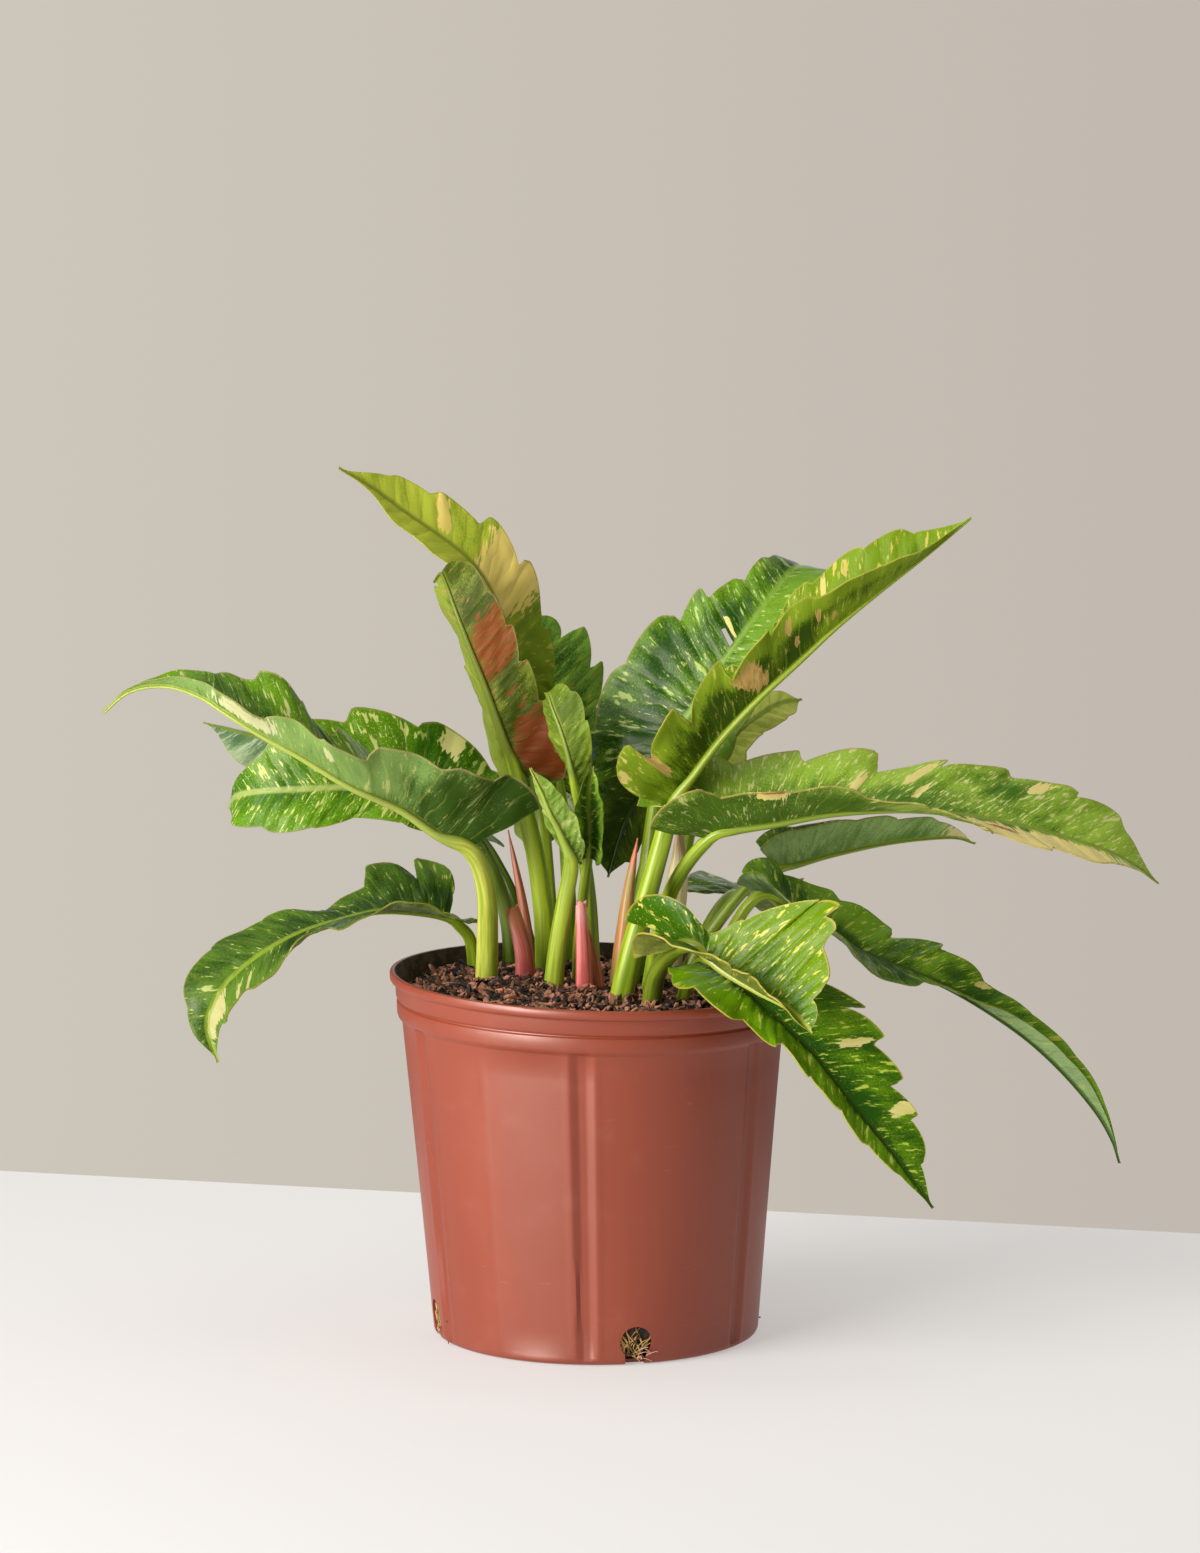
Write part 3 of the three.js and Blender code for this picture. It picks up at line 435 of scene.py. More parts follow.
GROWTHS: dict[str, Growth] = {
    "leaf_left_long": Growth(
        stem=((-72, 20, 222), (-71, 14, 256), (-71, 2, 285), (-75, -7, 307)),
        rib=(
            (-83, -14, 321), (-101, -21, 331), (-126, -32, 350), (-157, -45, 366), (-189, -50, 386),
            (-216, -50, 401), (-237, -48, 414), (-254, -44, 424), (-276, -40, 430),
            (-299, -37, 426), (-316, -34, 412),
        ),
        radius=8, teeth=8, wave=5.5, sweep=38, seed=3,
        left=Half(25, (60, 50, 40, 26, 13), (78, 54, 36, 32, 34, 40), 8, (0.1, 0.14, 0.08)),
        right=Half(50, (46, 50, 58, 58, 26), (5, 20, 50, 58, 44, 50), -8, (0.1, 0.12, 0.04)),
    ),
    "leaf_left_low": Growth(
        stem=((-80, 68, 222), (-83, 64, 247), (-90, 58, 258)),
        rib=(
            (-97, 54, 264), (-116, 46, 269), (-143, 38, 271), (-170, 30, 266), (-194, 22, 259),
            (-213, 15, 250), (-232, 8, 237), (-246, 2, 222), (-253, -2, 202), (-246, -8, 179),
        ),
        radius=5, twist=(0, 0, -14, -40, -62), teeth=7, wave=4.5, sweep=34, seed=5,
        left=Half(30, (26, 32, 34, 38, 26), (8, 8, 4, 2, 12, 20), 4, (0.1, 0.14)),
        right=Half(8, (46, 44, 25, 34, 26), (58, 42, 22, 22, 24, 30), -6, (0.36, 0.16, 0.08)),
    ),
    "leaf_left_broad": Growth(
        stem=((-56, 90, 222), (-58, 84, 254), (-65, 74, 283), (-76, 66, 309)),
        rib=(
            (-88, 62, 327), (-109, 57, 340), (-139, 50, 350), (-165, 46, 352), (-194, 44, 351),
            (-219, 48, 349), (-236, 62, 344), (-244, 90, 332),
        ),
        radius=6, face=(0, -0.85, 0.5), teeth=7, wave=2.5, sweep=30, seed=8,
        left=Half(30, (16, 20, 25, 33, 25), (10, 6, 4, 4, 10, 10), -6, (0.05, 0.2)),
        right=Half(42, (40, 50, 56, 44, 16), (16, 10, 10, 10, 10, 10), -8, (0.1, 0.12, 0.05)),
    ),
    "leaf_left_back": Growth(
        stem=((-40, 90, 222), (-49, 94, 256), (-64, 100, 289)),
        rib=(
            (-81, 106, 312), (-117, 110, 335), (-164, 112, 354), (-203, 110, 370), (-236, 104, 381),
            (-260, 98, 388),
        ),
        radius=5, face=(0, 0.2, 1), teeth=5, wave=2, sweep=36, seed=13,
        left=Half(36, (8, 10, 22, 34, 31), (-30, -46, -56, -62, -66, -60), -6, (0.1, 0.1)),
        right=Half(36, (36, 40, 38, 32, 20), (20, 20, 20, 16, 10, 10), -10, (0.1, 0.1)),
    ),
    "leaf_tall_left": Growth(
        stem=((-29, 74, 222), (-32, 80, 272), (-36, 88, 325), (-40, 92, 364)),
        rib=(
            (-44, 94, 400), (-54, 95, 433), (-63, 95, 460), (-72, 94, 480), (-84, 91, 497),
            (-102, 88, 512), (-124, 82, 528), (-147, 74, 546), (-168, 66, 560),
        ),
        radius=6.5, face=(0.7, 0, 0.7), teeth=7, wave=2.5, sweep=32, seed=21,
        left=Half(42, (28, 28, 28, 27, 17), (20, 5, -8, -16, -14, 0), -14, (0.1, 0.08)),
        right=Half(42, (20, 29, 41, 33, 23), (62, 60, 60, 60, 60, 50), -8, (0.1, 0.2, 0.14, 0)),
    ),
    "leaf_salmon_back": Growth(
        stem=((-33, 46, 222), (-34, 45, 264), (-39, 43, 304), (-46, 41, 336)),
        rib=(
            (-53, 40, 364), (-62, 39, 391), (-72, 36, 420), (-82, 34, 446), (-91, 34, 470),
            (-97, 40, 486), (-101, 51, 492), (-106, 66, 485),
        ),
        radius=7.5, face=(0.6, 0.77, 0.2), teeth=7, wave=2, sweep=30, seed=34,
        left=Half(30, (36, 38, 38, 36, 25), (30, 26, 22, 20, 20, 20), 6, (0.2, 0.14, 0.05)),
        right=Half(40, (34, 38, 38, 36, 28), (24, 26, 30, 30, 20, 20), 10, (0.1, 0.1)),
    ),
    "leaf_tall_right": Growth(
        stem=((15, -35, 220), (22, -38, 255), (32, -40, 291), (41, -42, 324)),
        rib=(
            (49, -42, 352), (60, -44, 371), (79, -46, 397), (103, -48, 423), (129, -49, 447),
            (154, -48, 470), (180, -46, 491), (208, -44, 513), (239, -40, 538),
        ),
        radius=8, teeth=8, wave=5, sweep=32, seed=55,
        left=Half(20, (40, 44, 46, 46, 34), (40, 34, 40, 62, 68, 60), -8, (0, 0.1, 0.1, 0.1)),
        right=Half(0, (52, 46, 42, 38, 24), (60, 54, 54, 52, 24, 20), 6, (0.42, 0.26, 0.15, 0)),
    ),
    "leaf_upright_right": Growth(
        stem=((25, 24, 221), (30, 27, 267), (34, 29, 307), (39, 30, 345)),
        rib=(
            (45, 31, 376), (55, 33, 393), (72, 36, 420), (91, 39, 447), (109, 46, 471),
            (121, 56, 486), (131, 74, 494), (138, 98, 491), (142, 122, 482),
        ),
        radius=6.5, face=(-0.43, -0.87, 0.25), teeth=8, wave=2.5, sweep=26, seed=89,
        left=Half(42, (58, 62, 53, 30, 18), LEVEL, -8, (0.14, 0.17, 0.12, 0)),
        right=Half(42, (44, 44, 40, 34, 22), LEVEL, -8, (0.1, 0.1, 0)),
    ),
    "leaf_right_long": Growth(
        stem=((34, -4, 221), (43, -14, 276), (55, -32, 308)),
        rib=(
            (73, -45, 332), (88, -48, 338), (117, -50, 343), (151, -50, 349), (191, -48, 351),
            (221, -45, 349), (252, -41, 344), (291, -35, 334), (327, -28, 322), (347, -22, 311),
            (364, -14, 298),
        ),
        radius=6, teeth=8, wave=2.5, sweep=38, seed=144,
        left=Half(
            10, (54, 64, 62, 66, 54), (68, 54, 46, 46, 50, 50), -8, (0.1, 0.2, 0.22, 0.12, 0),
        ),
        right=Half(
            22, (50, 36, 35, 34, 26), (36, 34, 12, -24, -38, -24), 4, (0.2, 0.1, 0.2, 0.2, 0),
        ),
    ),
    "leaf_right_back": Growth(
        stem=((54, 44, 221), (72, 46, 251), (98, 48, 284)),
        rib=(
            (120, 50, 297), (132, 52, 300), (156, 56, 306), (194, 60, 313), (233, 63, 316),
            (250, 64, 312),
        ),
        radius=5, teeth=5, wave=1.5, sweep=36, seed=233,
        left=Half(10, (30, 34, 32, 28, 18), (44, 40, 36, 34, 34, 30), 0, (0.1, 0.1)),
        right=Half(14, (30, 32, 30, 26, 18), (50, 56, 60, 60, 60, 50), 0, (0.1, 0.1)),
    ),
    "leaf_right_drooping": Growth(
        stem=((70, -2, 221), (84, -3, 256), (99, -4, 282)),
        rib=(
            (112, -4, 289), (132, -5, 279), (153, -6, 266), (174, -6, 251), (204, -6, 239),
            (229, -8, 228), (256, -10, 212), (282, -11, 193), (305, -12, 171), (325, -12, 147),
            (336, -12, 128), (341, -12, 113),
        ),
        radius=5, face=(0.3, 0, 1), teeth=9, wave=2.5, sweep=38, seed=377,
        left=Half(40, (38, 36, 38, 24, 18), (30, 34, 46, 50, 76, 80), -8, (0.2, 0.2, 0.1, 0)),
        right=Half(46, (38, 36, 26, 16, 13), (20, 6, -16, 30, 76, 80), 6, (0.2, 0.2, 0.1, 0)),
    ),
    "leaf_front": Growth(
        stem=((35, -44, 220), (39, -58, 246), (49, -78, 264)),
        rib=(
            (61, -94, 271), (71, -100, 264), (82, -107, 256), (102, -122, 246), (121, -140, 238),
            (135, -158, 226),
        ),
        radius=7, face=(-0.15, -0.88, 0.42), teeth=7, wave=2, sweep=18, seed=610,
        left=Half(82, (66, 16, 76, 70, 36), (20, 10, 10, 10, 10, 10), -8, (0.1, 0.1, 0.2, 0.3)),
        right=Half(60, (42, 34, 30, 26, 16), (30, 80, 100, 100, 90, 70), -4, (0.1, 0.1)),
    ),
    "leaf_right_low": Growth(
        stem=((55, -32, 221), (60, -46, 242), (64, -56, 250)),
        rib=(
            (70, -64, 254), (89, -100, 248), (113, -116, 229), (138, -124, 205), (163, -130, 174),
            (188, -132, 143), (213, -132, 109),
        ),
        radius=5, face=(0.23, -0.9, 0.36), teeth=9, wave=2, sweep=34, seed=987,
        left=Half(30, (34, 46, 54, 46, 29), LEVEL, -8, (0.1, 0.24, 0.22, 0.1)),
        right=Half(20, (24, 36, 30, 24, 15), (30, 30, 40, 44, 30, 20), -10, (0.1, 0.2, 0.15, 0.1)),
    ),
    "leaf_young_front": Growth(
        stem=((-28, 0, 221), (-25, -5, 253), (-20, -10, 286)),
        rib=((-16, -14, 312), (-22, -22, 331), (-29, -30, 346), (-35, -36, 362), (-42, -42, 377)),
        radius=7, face=(0.6, 0.5, 0.5), teeth=4, wave=1.5, sweep=30, seed=4,
        left=Half(10, (6, 12, 17, 15, 10), (40, 34, 30, 30, 30, 30), 10, (0.1, 0.1)),
        right=Half(20, (12, 18, 18, 14, 9), LEVEL, 10, (0.1, 0.1)),
    ),
    "leaf_young_cupped": Growth(
        stem=((-12, 12, 221), (-11, 10, 257), (-8, 7, 290)),
        rib=((-5, 3, 314), (-4, -2, 329), (-5, -4, 344), (-5, -8, 358), (-2, -6, 373)),
        radius=4.5, face=(0.2, -1, 0.1), teeth=4, wave=1, sweep=30, seed=6,
        left=Half(20, (12, 16, 17, 15, 10), (40, 40, 34, 30, 30, 30), 30, (0.06, 0.06)),
        right=Half(20, (12, 16, 17, 15, 10), (46, 46, 40, 30, 30, 30), 40, (0.06, 0.06)),
    ),
    "leaf_young_folded": Growth(
        stem=((-4, 28, 221), (-5, 28, 261), (-7, 25, 301), (-10, 19, 338)),
        rib=(
            (-14, 13, 358), (-18, 11, 378), (-23, 11, 395), (-28, 14, 408), (-31, 20, 416),
            (-33, 30, 416),
        ),
        radius=4.5, face=(0.5, 0.8, 0.3), teeth=4, wave=1.5, sweep=30, seed=7,
        left=Half(10, (8, 14, 21, 23, 17), (40, 34, 20, 20, 20, 20), 10, (0.1, 0.1)),
        right=Half(10, (8, 14, 18, 18, 12), (30, 30, 20, 20, 20, 20), 10, (0.1, 0.1)),
    ),
    "leaf_dark_centre": Growth(
        stem=((-16, 88, 222), (-18, 104, 268), (-21, 116, 312)),
        rib=((-24, 120, 340), (-27, 124, 366), (-31, 128, 396), (-38, 132, 426), (-46, 138, 456)),
        radius=5.5, face=(0.3, -0.9, 0.2), teeth=5, wave=3, sweep=26, seed=9,
        left=Half(36, (36, 40, 38, 34, 24), LEVEL, -10, (0.34, 0.34)),
        right=Half(30, (36, 46, 46, 44, 34), LEVEL, -10, (0.34, 0.34)),
    ),
    "leaf_back_right": Growth(
        stem=((40, 80, 222), (54, 88, 278), (66, 94, 330)),
        rib=((79, 99, 361), (92, 104, 379), (107, 110, 390), (122, 116, 398), (137, 124, 400)),
        radius=5, face=(0, -0.3, 1), teeth=4, wave=1.5, sweep=34, seed=10,
        left=Half(10, (20, 18, 15, 15, 13), (20, 20, 20, 20, 20, 20), -10, (0.1, 0.1)),
        right=Half(10, (22, 18, 16, 16, 14), (-20, -20, -24, -24, -20, -20), -10, (0.1, 0.1)),
    ),
    "leaf_hanging_centre": Growth(
        stem=((14, 66, 222), (30, 78, 286), (40, 84, 330)),
        rib=((40, 80, 352), (32, 68, 348), (22, 58, 334), (14, 52, 314), (8, 50, 292)),
        radius=4.5, face=(-0.4, -0.6, 0.7), teeth=5, wave=2, sweep=34, seed=14,
        left=Half(40, (26, 32, 32, 26, 16), LEVEL, -10, (0.12, 0.12)),
        right=Half(40, (28, 34, 34, 28, 16), LEVEL, -10, (0.12, 0.12)),
    ),
    "leaf_back_arching": Growth(
        stem=((-2, 96, 222), (-4, 118, 262), (-8, 140, 292)),
        rib=(
            (-12, 164, 308), (-18, 200, 318), (-26, 240, 316), (-34, 276, 300), (-40, 300, 276),
            (-43, 312, 250),
        ),
        radius=5.5, teeth=7, wave=3, sweep=36, seed=15,
        left=Half(44, (40, 44, 42, 36, 22), (22, 20, 22, 24, 26, 26), -12, (0.13, 0.13)),
        right=Half(44, (42, 44, 42, 36, 22), (22, 20, 22, 24, 26, 26), -12, (0.13, 0.13)),
    ),
    "leaf_back_low": Growth(
        stem=((62, 68, 221), (72, 92, 246), (82, 116, 260)),
        rib=((92, 138, 266), (106, 168, 264), (120, 198, 252), (132, 226, 232), (140, 248, 206)),
        radius=5, teeth=7, wave=3, sweep=36, seed=16,
        left=Half(44, (38, 40, 38, 32, 20), (18, 16, 18, 20, 22, 22), -12, (0.13, 0.13)),
        right=Half(44, (38, 40, 38, 32, 20), (18, 16, 18, 20, 22, 22), -12, (0.13, 0.13)),
    ),
}  # fmt: skip


# Materials


def paint(colour: Colour) -> tuple[float, float, float, float]:
    """A display colour as the linear colour that a shader takes.

    Args:
        colour: The display colour.

    Returns:
        The linear red, green, blue and an alpha of 1.
    """
    parts = (value / 255 for value in colour)
    linear = (v / 12.92 if v <= 0.04045 else ((v + 0.055) / 1.055) ** 2.4 for v in parts)
    return (*linear, 1.0)


def toned(colour: Colour, *shares: float) -> Colour:
    """A display colour with its red, green and blue brought down to shares of themselves."""
    return tuple(int(value * share) for value, share in zip(colour, shares))


class Value:
    """A number in a tree of nodes, with Python's arithmetic on it."""

    def __init__(self, nodes: "Nodes", socket: Socket) -> None:
        """Wraps an output socket.

        Args:
            nodes: The tree of nodes.
            socket: The socket that gives the number.
        """
        self.nodes = nodes
        self.socket = socket

    def _with(self, operation: str, first: "Number", second: "Number" = 0.0) -> "Value":
        """One Math node on two values."""
        node = self.nodes.add("ShaderNodeMath", {"operation": operation}, {0: first, 1: second})
        return Value(self.nodes, node.outputs[0])

    def __add__(self, other: "Number") -> "Value":
        """This value plus another."""
        return self._with("ADD", self, other)

    __radd__ = __add__

    def __sub__(self, other: "Number") -> "Value":
        """This value less another."""
        return self._with("SUBTRACT", self, other)

    def __rsub__(self, other: "Number") -> "Value":
        """Another value less this one."""
        return self._with("SUBTRACT", other, self)

    def __mul__(self, other: "Number") -> "Value":
        """This value times another."""
        return self._with("MULTIPLY", self, other)

    __rmul__ = __mul__

    def part(self) -> "Value":
        """What is left of this value above its whole number."""
        return self._with("FRACT", self)

    def size(self) -> "Value":
        """This value without its sign."""
        return self._with("ABSOLUTE", self)

    def top(self, other: "Number") -> "Value":
        """The larger of this value and another."""
        return self._with("MAXIMUM", self, other)

    def step(self, low: float, high: float) -> "Value":
        """A smooth step of this value: 0 at low and 1 at high, whichever of them is larger.

        Args:
            low: Where the step is 0.
            high: Where it is 1.

        Returns:
            The step.
        """
        settings = {"interpolation_type": "SMOOTHSTEP"}
        ends = {"From Min": min(low, high), "From Max": max(low, high)}
        ends |= {"To Min": 0.0, "To Max": 1.0} if high > low else {"To Min": 1.0, "To Max": 0.0}
        node = self.nodes.add("ShaderNodeMapRange", settings, {"Value": self, **ends})
        return Value(self.nodes, node.outputs["Result"])


Number: TypeAlias = Value | float


class Nodes:
    """A tree of nodes that is built up from code."""

    def __init__(self, tree: bpy.types.NodeTree) -> None:
        """Takes the tree that the nodes go into.

        Args:
            tree: The tree of a material or of the world.
        """
        self.tree = tree

    def add(
        self, kind: str, settings: dict | None = None, inputs: dict | None = None
    ) -> bpy.types.Node:
        """Adds a node.

        Args:
            kind: The node's type.
            settings: Its own settings, by name.
            inputs: Values or links for its sockets, by name or number.

        Returns:
            The new node.
        """
        node = self.tree.nodes.new(kind)
        for name, value in (settings or {}).items():
            setattr(node, name, value)
        for name, value in (inputs or {}).items():
            self.feed(node.inputs[name], value)
        return node

    def feed(self, socket: Socket, value: object) -> None:
        """Links or sets one input socket.

        Args:
            socket: The input.
            value: A Value, an output socket, or a plain number, vector or colour.
        """
        if isinstance(value, Value):
            value = value.socket
        if isinstance(value, Socket):
            self.tree.links.new(value, socket)
        else:
            socket.default_value = value

    def mix(self, share: Number, first: object, second: object) -> Socket:
        """Mixes two colours.

        Args:
            share: How much of the second shows, from 0 to 1.
            first: A colour or a socket that gives one.
            second: The same.

        Returns:
            The mixed colour's socket.
        """
        node = self.add("ShaderNodeMix", {"data_type": "RGBA"}, {0: share, 6: first, 7: second})
        return node.outputs[2]

    def parts(self, colour: Socket) -> tuple[Value, Value, Value]:
        """A colour's or vector's three parts."""
        node = self.add("ShaderNodeSeparateXYZ", None, {0: colour})
        return tuple(Value(self, socket) for socket in node.outputs)


class Bench(Nodes):
    """The nodes of one material."""

    def __init__(self, name: str) -> None:
        """Makes a new material with its one surface shader.

        Args:
            name: The material's name.
        """
        self.material = bpy.data.materials.new(name)
        self.material.use_nodes = True
        super().__init__(self.material.node_tree)
        self.shader = self.tree.nodes["Principled BSDF"]

    def object_place(self) -> Socket:
        """The place on the piece, in metres."""
        return self.add("ShaderNodeTexCoord").outputs["Object"]

    def surface_place(self) -> Socket:
        """The place on the piece's own surface map."""
        return self.add("ShaderNodeTexCoord").outputs["UV"]

    def noise(
        self, place: Socket, scale: float | Triple, detail: float = 2.0, roughness: float = 0.5
    ) -> Value:
        """A noise value round 0.5.

        Args:
            place: Where it is read.
            scale: How fine it is, or how fine in each direction.
            detail: How many finer layers it has.
            roughness: How strong those are.

        Returns:
            The noise.
        """
        if isinstance(scale, tuple):
            node = self.add("ShaderNodeVectorMath", {"operation": "MULTIPLY"}, {0: place, 1: scale})
            place, scale = node.outputs[0], 1.0
        inputs = {"Vector": place, "Scale": scale, "Detail": detail, "Roughness": roughness}
        return Value(self, self.add("ShaderNodeTexNoise", None, inputs).outputs["Fac"])

    def cells(self, place: Socket, scale: float) -> Value:
        """A value that differs from one small cell to the next."""
        node = self.add("ShaderNodeTexVoronoi", None, {"Vector": place, "Scale": scale})
        return self.parts(node.outputs["Color"])[0]

    def attribute(self, name: str) -> bpy.types.Node:
        """The node that reads one of the piece's own attributes."""
        return self.add("ShaderNodeAttribute", {"attribute_name": name})

    def relief(self, height: Value, distance: float, strength: float = 1.0) -> None:
        """Gives the surface a fine relief.

        Args:
            height: The relief, from 0 to 1.
            distance: Its full height in metres.
            strength: How much of it shows.
        """
        inputs = {"Height": height, "Distance": distance, "Strength": strength}
        bump = self.add("ShaderNodeBump", None, inputs)
        self.feed(self.shader.inputs["Normal"], bump.outputs["Normal"])

    def finish(self, colour: object, roughness: Number, **others: object) -> Material:
        """Sets the surface shader's inputs.

        Args:
            colour: The base colour.
            roughness: The roughness.
            others: More inputs, by name with _ for each space.

        Returns:
            The finished material.
        """
        self.feed(self.shader.inputs["Base Color"], colour)
        self.feed(self.shader.inputs["Roughness"], roughness)
        for name, value in others.items():
            self.feed(self.shader.inputs[name.replace("_", " ")], value)
        return self.material


@dataclass(frozen=True)
class Skin:
    """The colours of one leaf, as display colours, how flecked it is and how dull."""

    FINE: ClassVar[Triple] = (58.0, 11.0, 1.0)
    BROAD: ClassVar[Triple] = (17.0, 4.0, 1.0)
    SPECKS: ClassVar[Triple] = (150.0, 70.0, 1.0)

    deep: Colour = (34, 60, 6)
    fresh: Colour = (84, 120, 14)
    under: Colour = (66, 88, 26)
    under_fresh: Colour = (118, 138, 60)
    fleck: Colour = (192, 194, 88)
    flecks: float = 0.5
    rib: Colour = (132, 152, 48)
    stem: Colour = (170, 190, 42)
    stem_dark: Colour = (112, 142, 18)
    edge: Colour = (138, 138, 52)
    cream: Colour = (212, 194, 112)
    flush: Colour = (178, 98, 64)
    gloss: float = 0.36

    def blade(self, name: str, upper: bool) -> Material:
        """The finish of one face of the blade.

        Args:
            name: The material's name.
            upper: True for the upper face.

        Returns:
            Green with fresh and deep parts, side veins with painted shade in their grooves, cream
            flecks that run along the veins, the cream and flushed patches that the blade's tints
            attribute marks, and the painted shade that its alpha marks, under which a flush turns a
            darker red.
        """
        bench = Bench(name)
        place = bench.surface_place()
        lines, tints = bench.attribute("lines"), bench.attribute("tints")
        number, edge, _ = bench.parts(lines.outputs["Vector"])
        cream, flush, lime = bench.parts(tints.outputs["Color"])
        # The tints' alpha is painted shade: the SHADE patches, where the blade lies in shade.
        shade = Value(bench, tints.outputs["Alpha"])
        fine = bench.noise(place, self.FINE, 2.0, 0.55)
        broad = bench.noise(place, self.BROAD, 1.0)
        drift = bench.noise(place, 3.4, 1.0)
        grain = bench.noise(place, 90.0, 2.0)

        # The green: fresh in lime patches, deep where the tints' alpha paints shade, and a little
        # darker in the side veins' grooves than on the swell between them, which is painted shade
        # too.
        deep, fresh = (self.deep, self.fresh) if upper else (self.under, self.under_fresh)
        number = number + (bench.noise(place, 6.0, 1.0) - 0.5) * 0.9
        bulge = number.part() * (1 - number.part()) * 4
        tone = 0.42 + (drift - 0.5) * 1.5 + (broad - 0.5) * 0.9 + (edge - 0.5) * 0.35
        mottle = (fine - 0.5) * 0.8 + (grain - 0.5) * 1.1
        # shade * 0.8 darkens the green as painted shade, and the bulge term is painted shade in the
        # vein grooves.
        tone = (tone + mottle + (bulge - 0.6) * 0.1 + lime * 0.8 - shade * 0.8).step(0.0, 1.0)
        colour = bench.mix(tone, paint(deep), paint(fresh))
        ridge = ((number.part() - 0.5).size() * 2).step(0.8, 1.0) * broad.step(0.25, 0.6) * 0.4
        colour = bench.mix(ridge * (1 - edge * 0.5), colour, paint(self.rib))

        # The flecks: small and large ones along the veins, and fine specks.
        amount = self.flecks * (1.0 if upper else 0.45)
        limit = 0.655 - 0.09 * amount
        small = fine.step(limit, limit + 0.035) * (drift + broad).step(0.72, 1.0)
        large = broad.step(0.69 - 0.05 * amount, 0.72 - 0.05 * amount) * fine.step(0.4, 0.5)
        specks = bench.noise(place, self.SPECKS, 1.0).step(0.6, 0.7) * drift.step(0.3, 0.6)
        flecks = small.top(large) * (0.9 if upper else 0.5)
        flecks = flecks.top(specks * min(0.8 * amount + 0.04, 0.6))
        colour = bench.mix(flecks, colour, paint(self.fleck))

        # The cream and flushed patches, torn along the veins; under strong painted shade a flush
        # turns a darker red.
        ragged = (fine - 0.5) * 1.3 + (broad - 0.5) * 0.5
        creamy = (cream + ragged).step(0.44, 0.54) * cream.step(0.02, 0.2)
        stained = bench.mix(broad.step(0.35, 0.7) * 0.35, paint(self.cream), paint(self.fleck))
        colour = bench.mix(creamy, colour, stained)
        flushed = (flush + ragged).step(0.44, 0.56) * flush.step(0.02, 0.2)
        blush = bench.mix(broad, paint(self.flush), paint(toned(self.flush, 0.82, 0.82, 0.82)))
        veiled = fine.step(0.62, 0.46) * 0.42 + 0.58
        # dark is the flush under painted shade, chosen where the tints' alpha is strong.
        dark = paint(toned(self.flush, 0.8, 0.66, 0.6))
        colour = bench.mix(flushed * veiled, colour, bench.mix(shade.step(0.5, 0.85), blush, dark))

        # The strip beside the midrib, and the margin.
        side = bench.parts(place)[1].size()
        colour = bench.mix(side.step(0.035, 0.012) * 0.85, colour, paint(self.rib))
        colour = bench.mix(edge.step(0.962, 0.995) * 0.7, colour, paint(self.edge))
        height = bulge * 0.4 + drift * 2.2 + broad * 0.9 + grain * 0.1 - ridge * 0.15
        bench.relief(height, 0.0009, 0.6)
        rough = self.gloss + (0.0 if upper else 0.12) + (grain - 0.5) * 0.16
        return bench.finish(colour, rough, Specular_IOR_Level=0.14 if upper else 0.07)

    def stalk(self, name: str) -> Material:
        """The finish of the stem and midrib: green with pale and dark lines along it.

        Args:
            name: The material's name.

        Returns:
            The finished material.
        """
        bench = Bench(name)
        place = bench.surface_place()
        streak = bench.noise(place, (9.0, 1.1, 1.0), 3.0, 0.6)
        drift = bench.noise(place, (1.0, 2.0, 1.0), 1.0)
        rib = Value(bench, bench.attribute("tints").outputs["Fac"])
        colour = bench.mix(streak.step(0.36, 0.62), paint(self.stem_dark), paint(self.stem))
        colour = bench.mix(drift.step(0.45, 0.75) * 0.5, colour, paint(self.rib))
        colour = bench.mix(rib.step(0.2, 0.9), colour, paint(self.rib))
        bench.relief(streak, 0.0006, 0.5)
        return bench.finish(colour, 0.36 + (streak - 0.5) * 0.2, Specular_IOR_Level=0.35)


class Finish(Enum):
    """The finishes of the pieces that aren't leaves."""

    PLASTIC = "terracotta_plastic"
    STAINED = "stained_plastic"
    SPLINTER = "pale_wood"
    EARTH = "potting_mix"
    BARK = "bark_chips"
    PERLITE = "perlite"
    ROOT = "fine_roots"
    ROOTLET = "pale_rootlets"
    TEAL = "teal_fleck"
    PINK = "pink_sheath"
    PLUM = "plum_sheath"
    RUST = "rust_sheath"
    ORANGE = "orange_spear"
    HUSK = "cream_husk"
    FLOOR = "pale_floor"

    @cache
    def material(self) -> Material:
        """This finish's material, which is made the first time that it is asked for.

        Returns:
            The material, with the finish's own name.
        """
        stuff = Stuff(self.value)
        ways = (CRUMBS, stuff.crumbs), (SCALE_LEAVES, stuff.scale_leaf), (MATT, stuff.matt)
        for table, way in ways:
            if self in table:
                return way(*table[self])
        return stuff.plastic() if self is Finish.PLASTIC else stuff.table_top()


# The dark and the light brown of each crumbly finish.
CRUMBS: dict[Finish, tuple[Colour, Colour]] = {
    Finish.STAINED: ((44, 36, 18), (94, 64, 38)),
    Finish.SPLINTER: ((110, 76, 50), (176, 136, 92)),
    Finish.EARTH: ((24, 15, 12), (58, 38, 30)),
    Finish.BARK: ((26, 14, 11), (186, 124, 94)),
    Finish.ROOT: ((92, 62, 26), (188, 152, 84)),
}

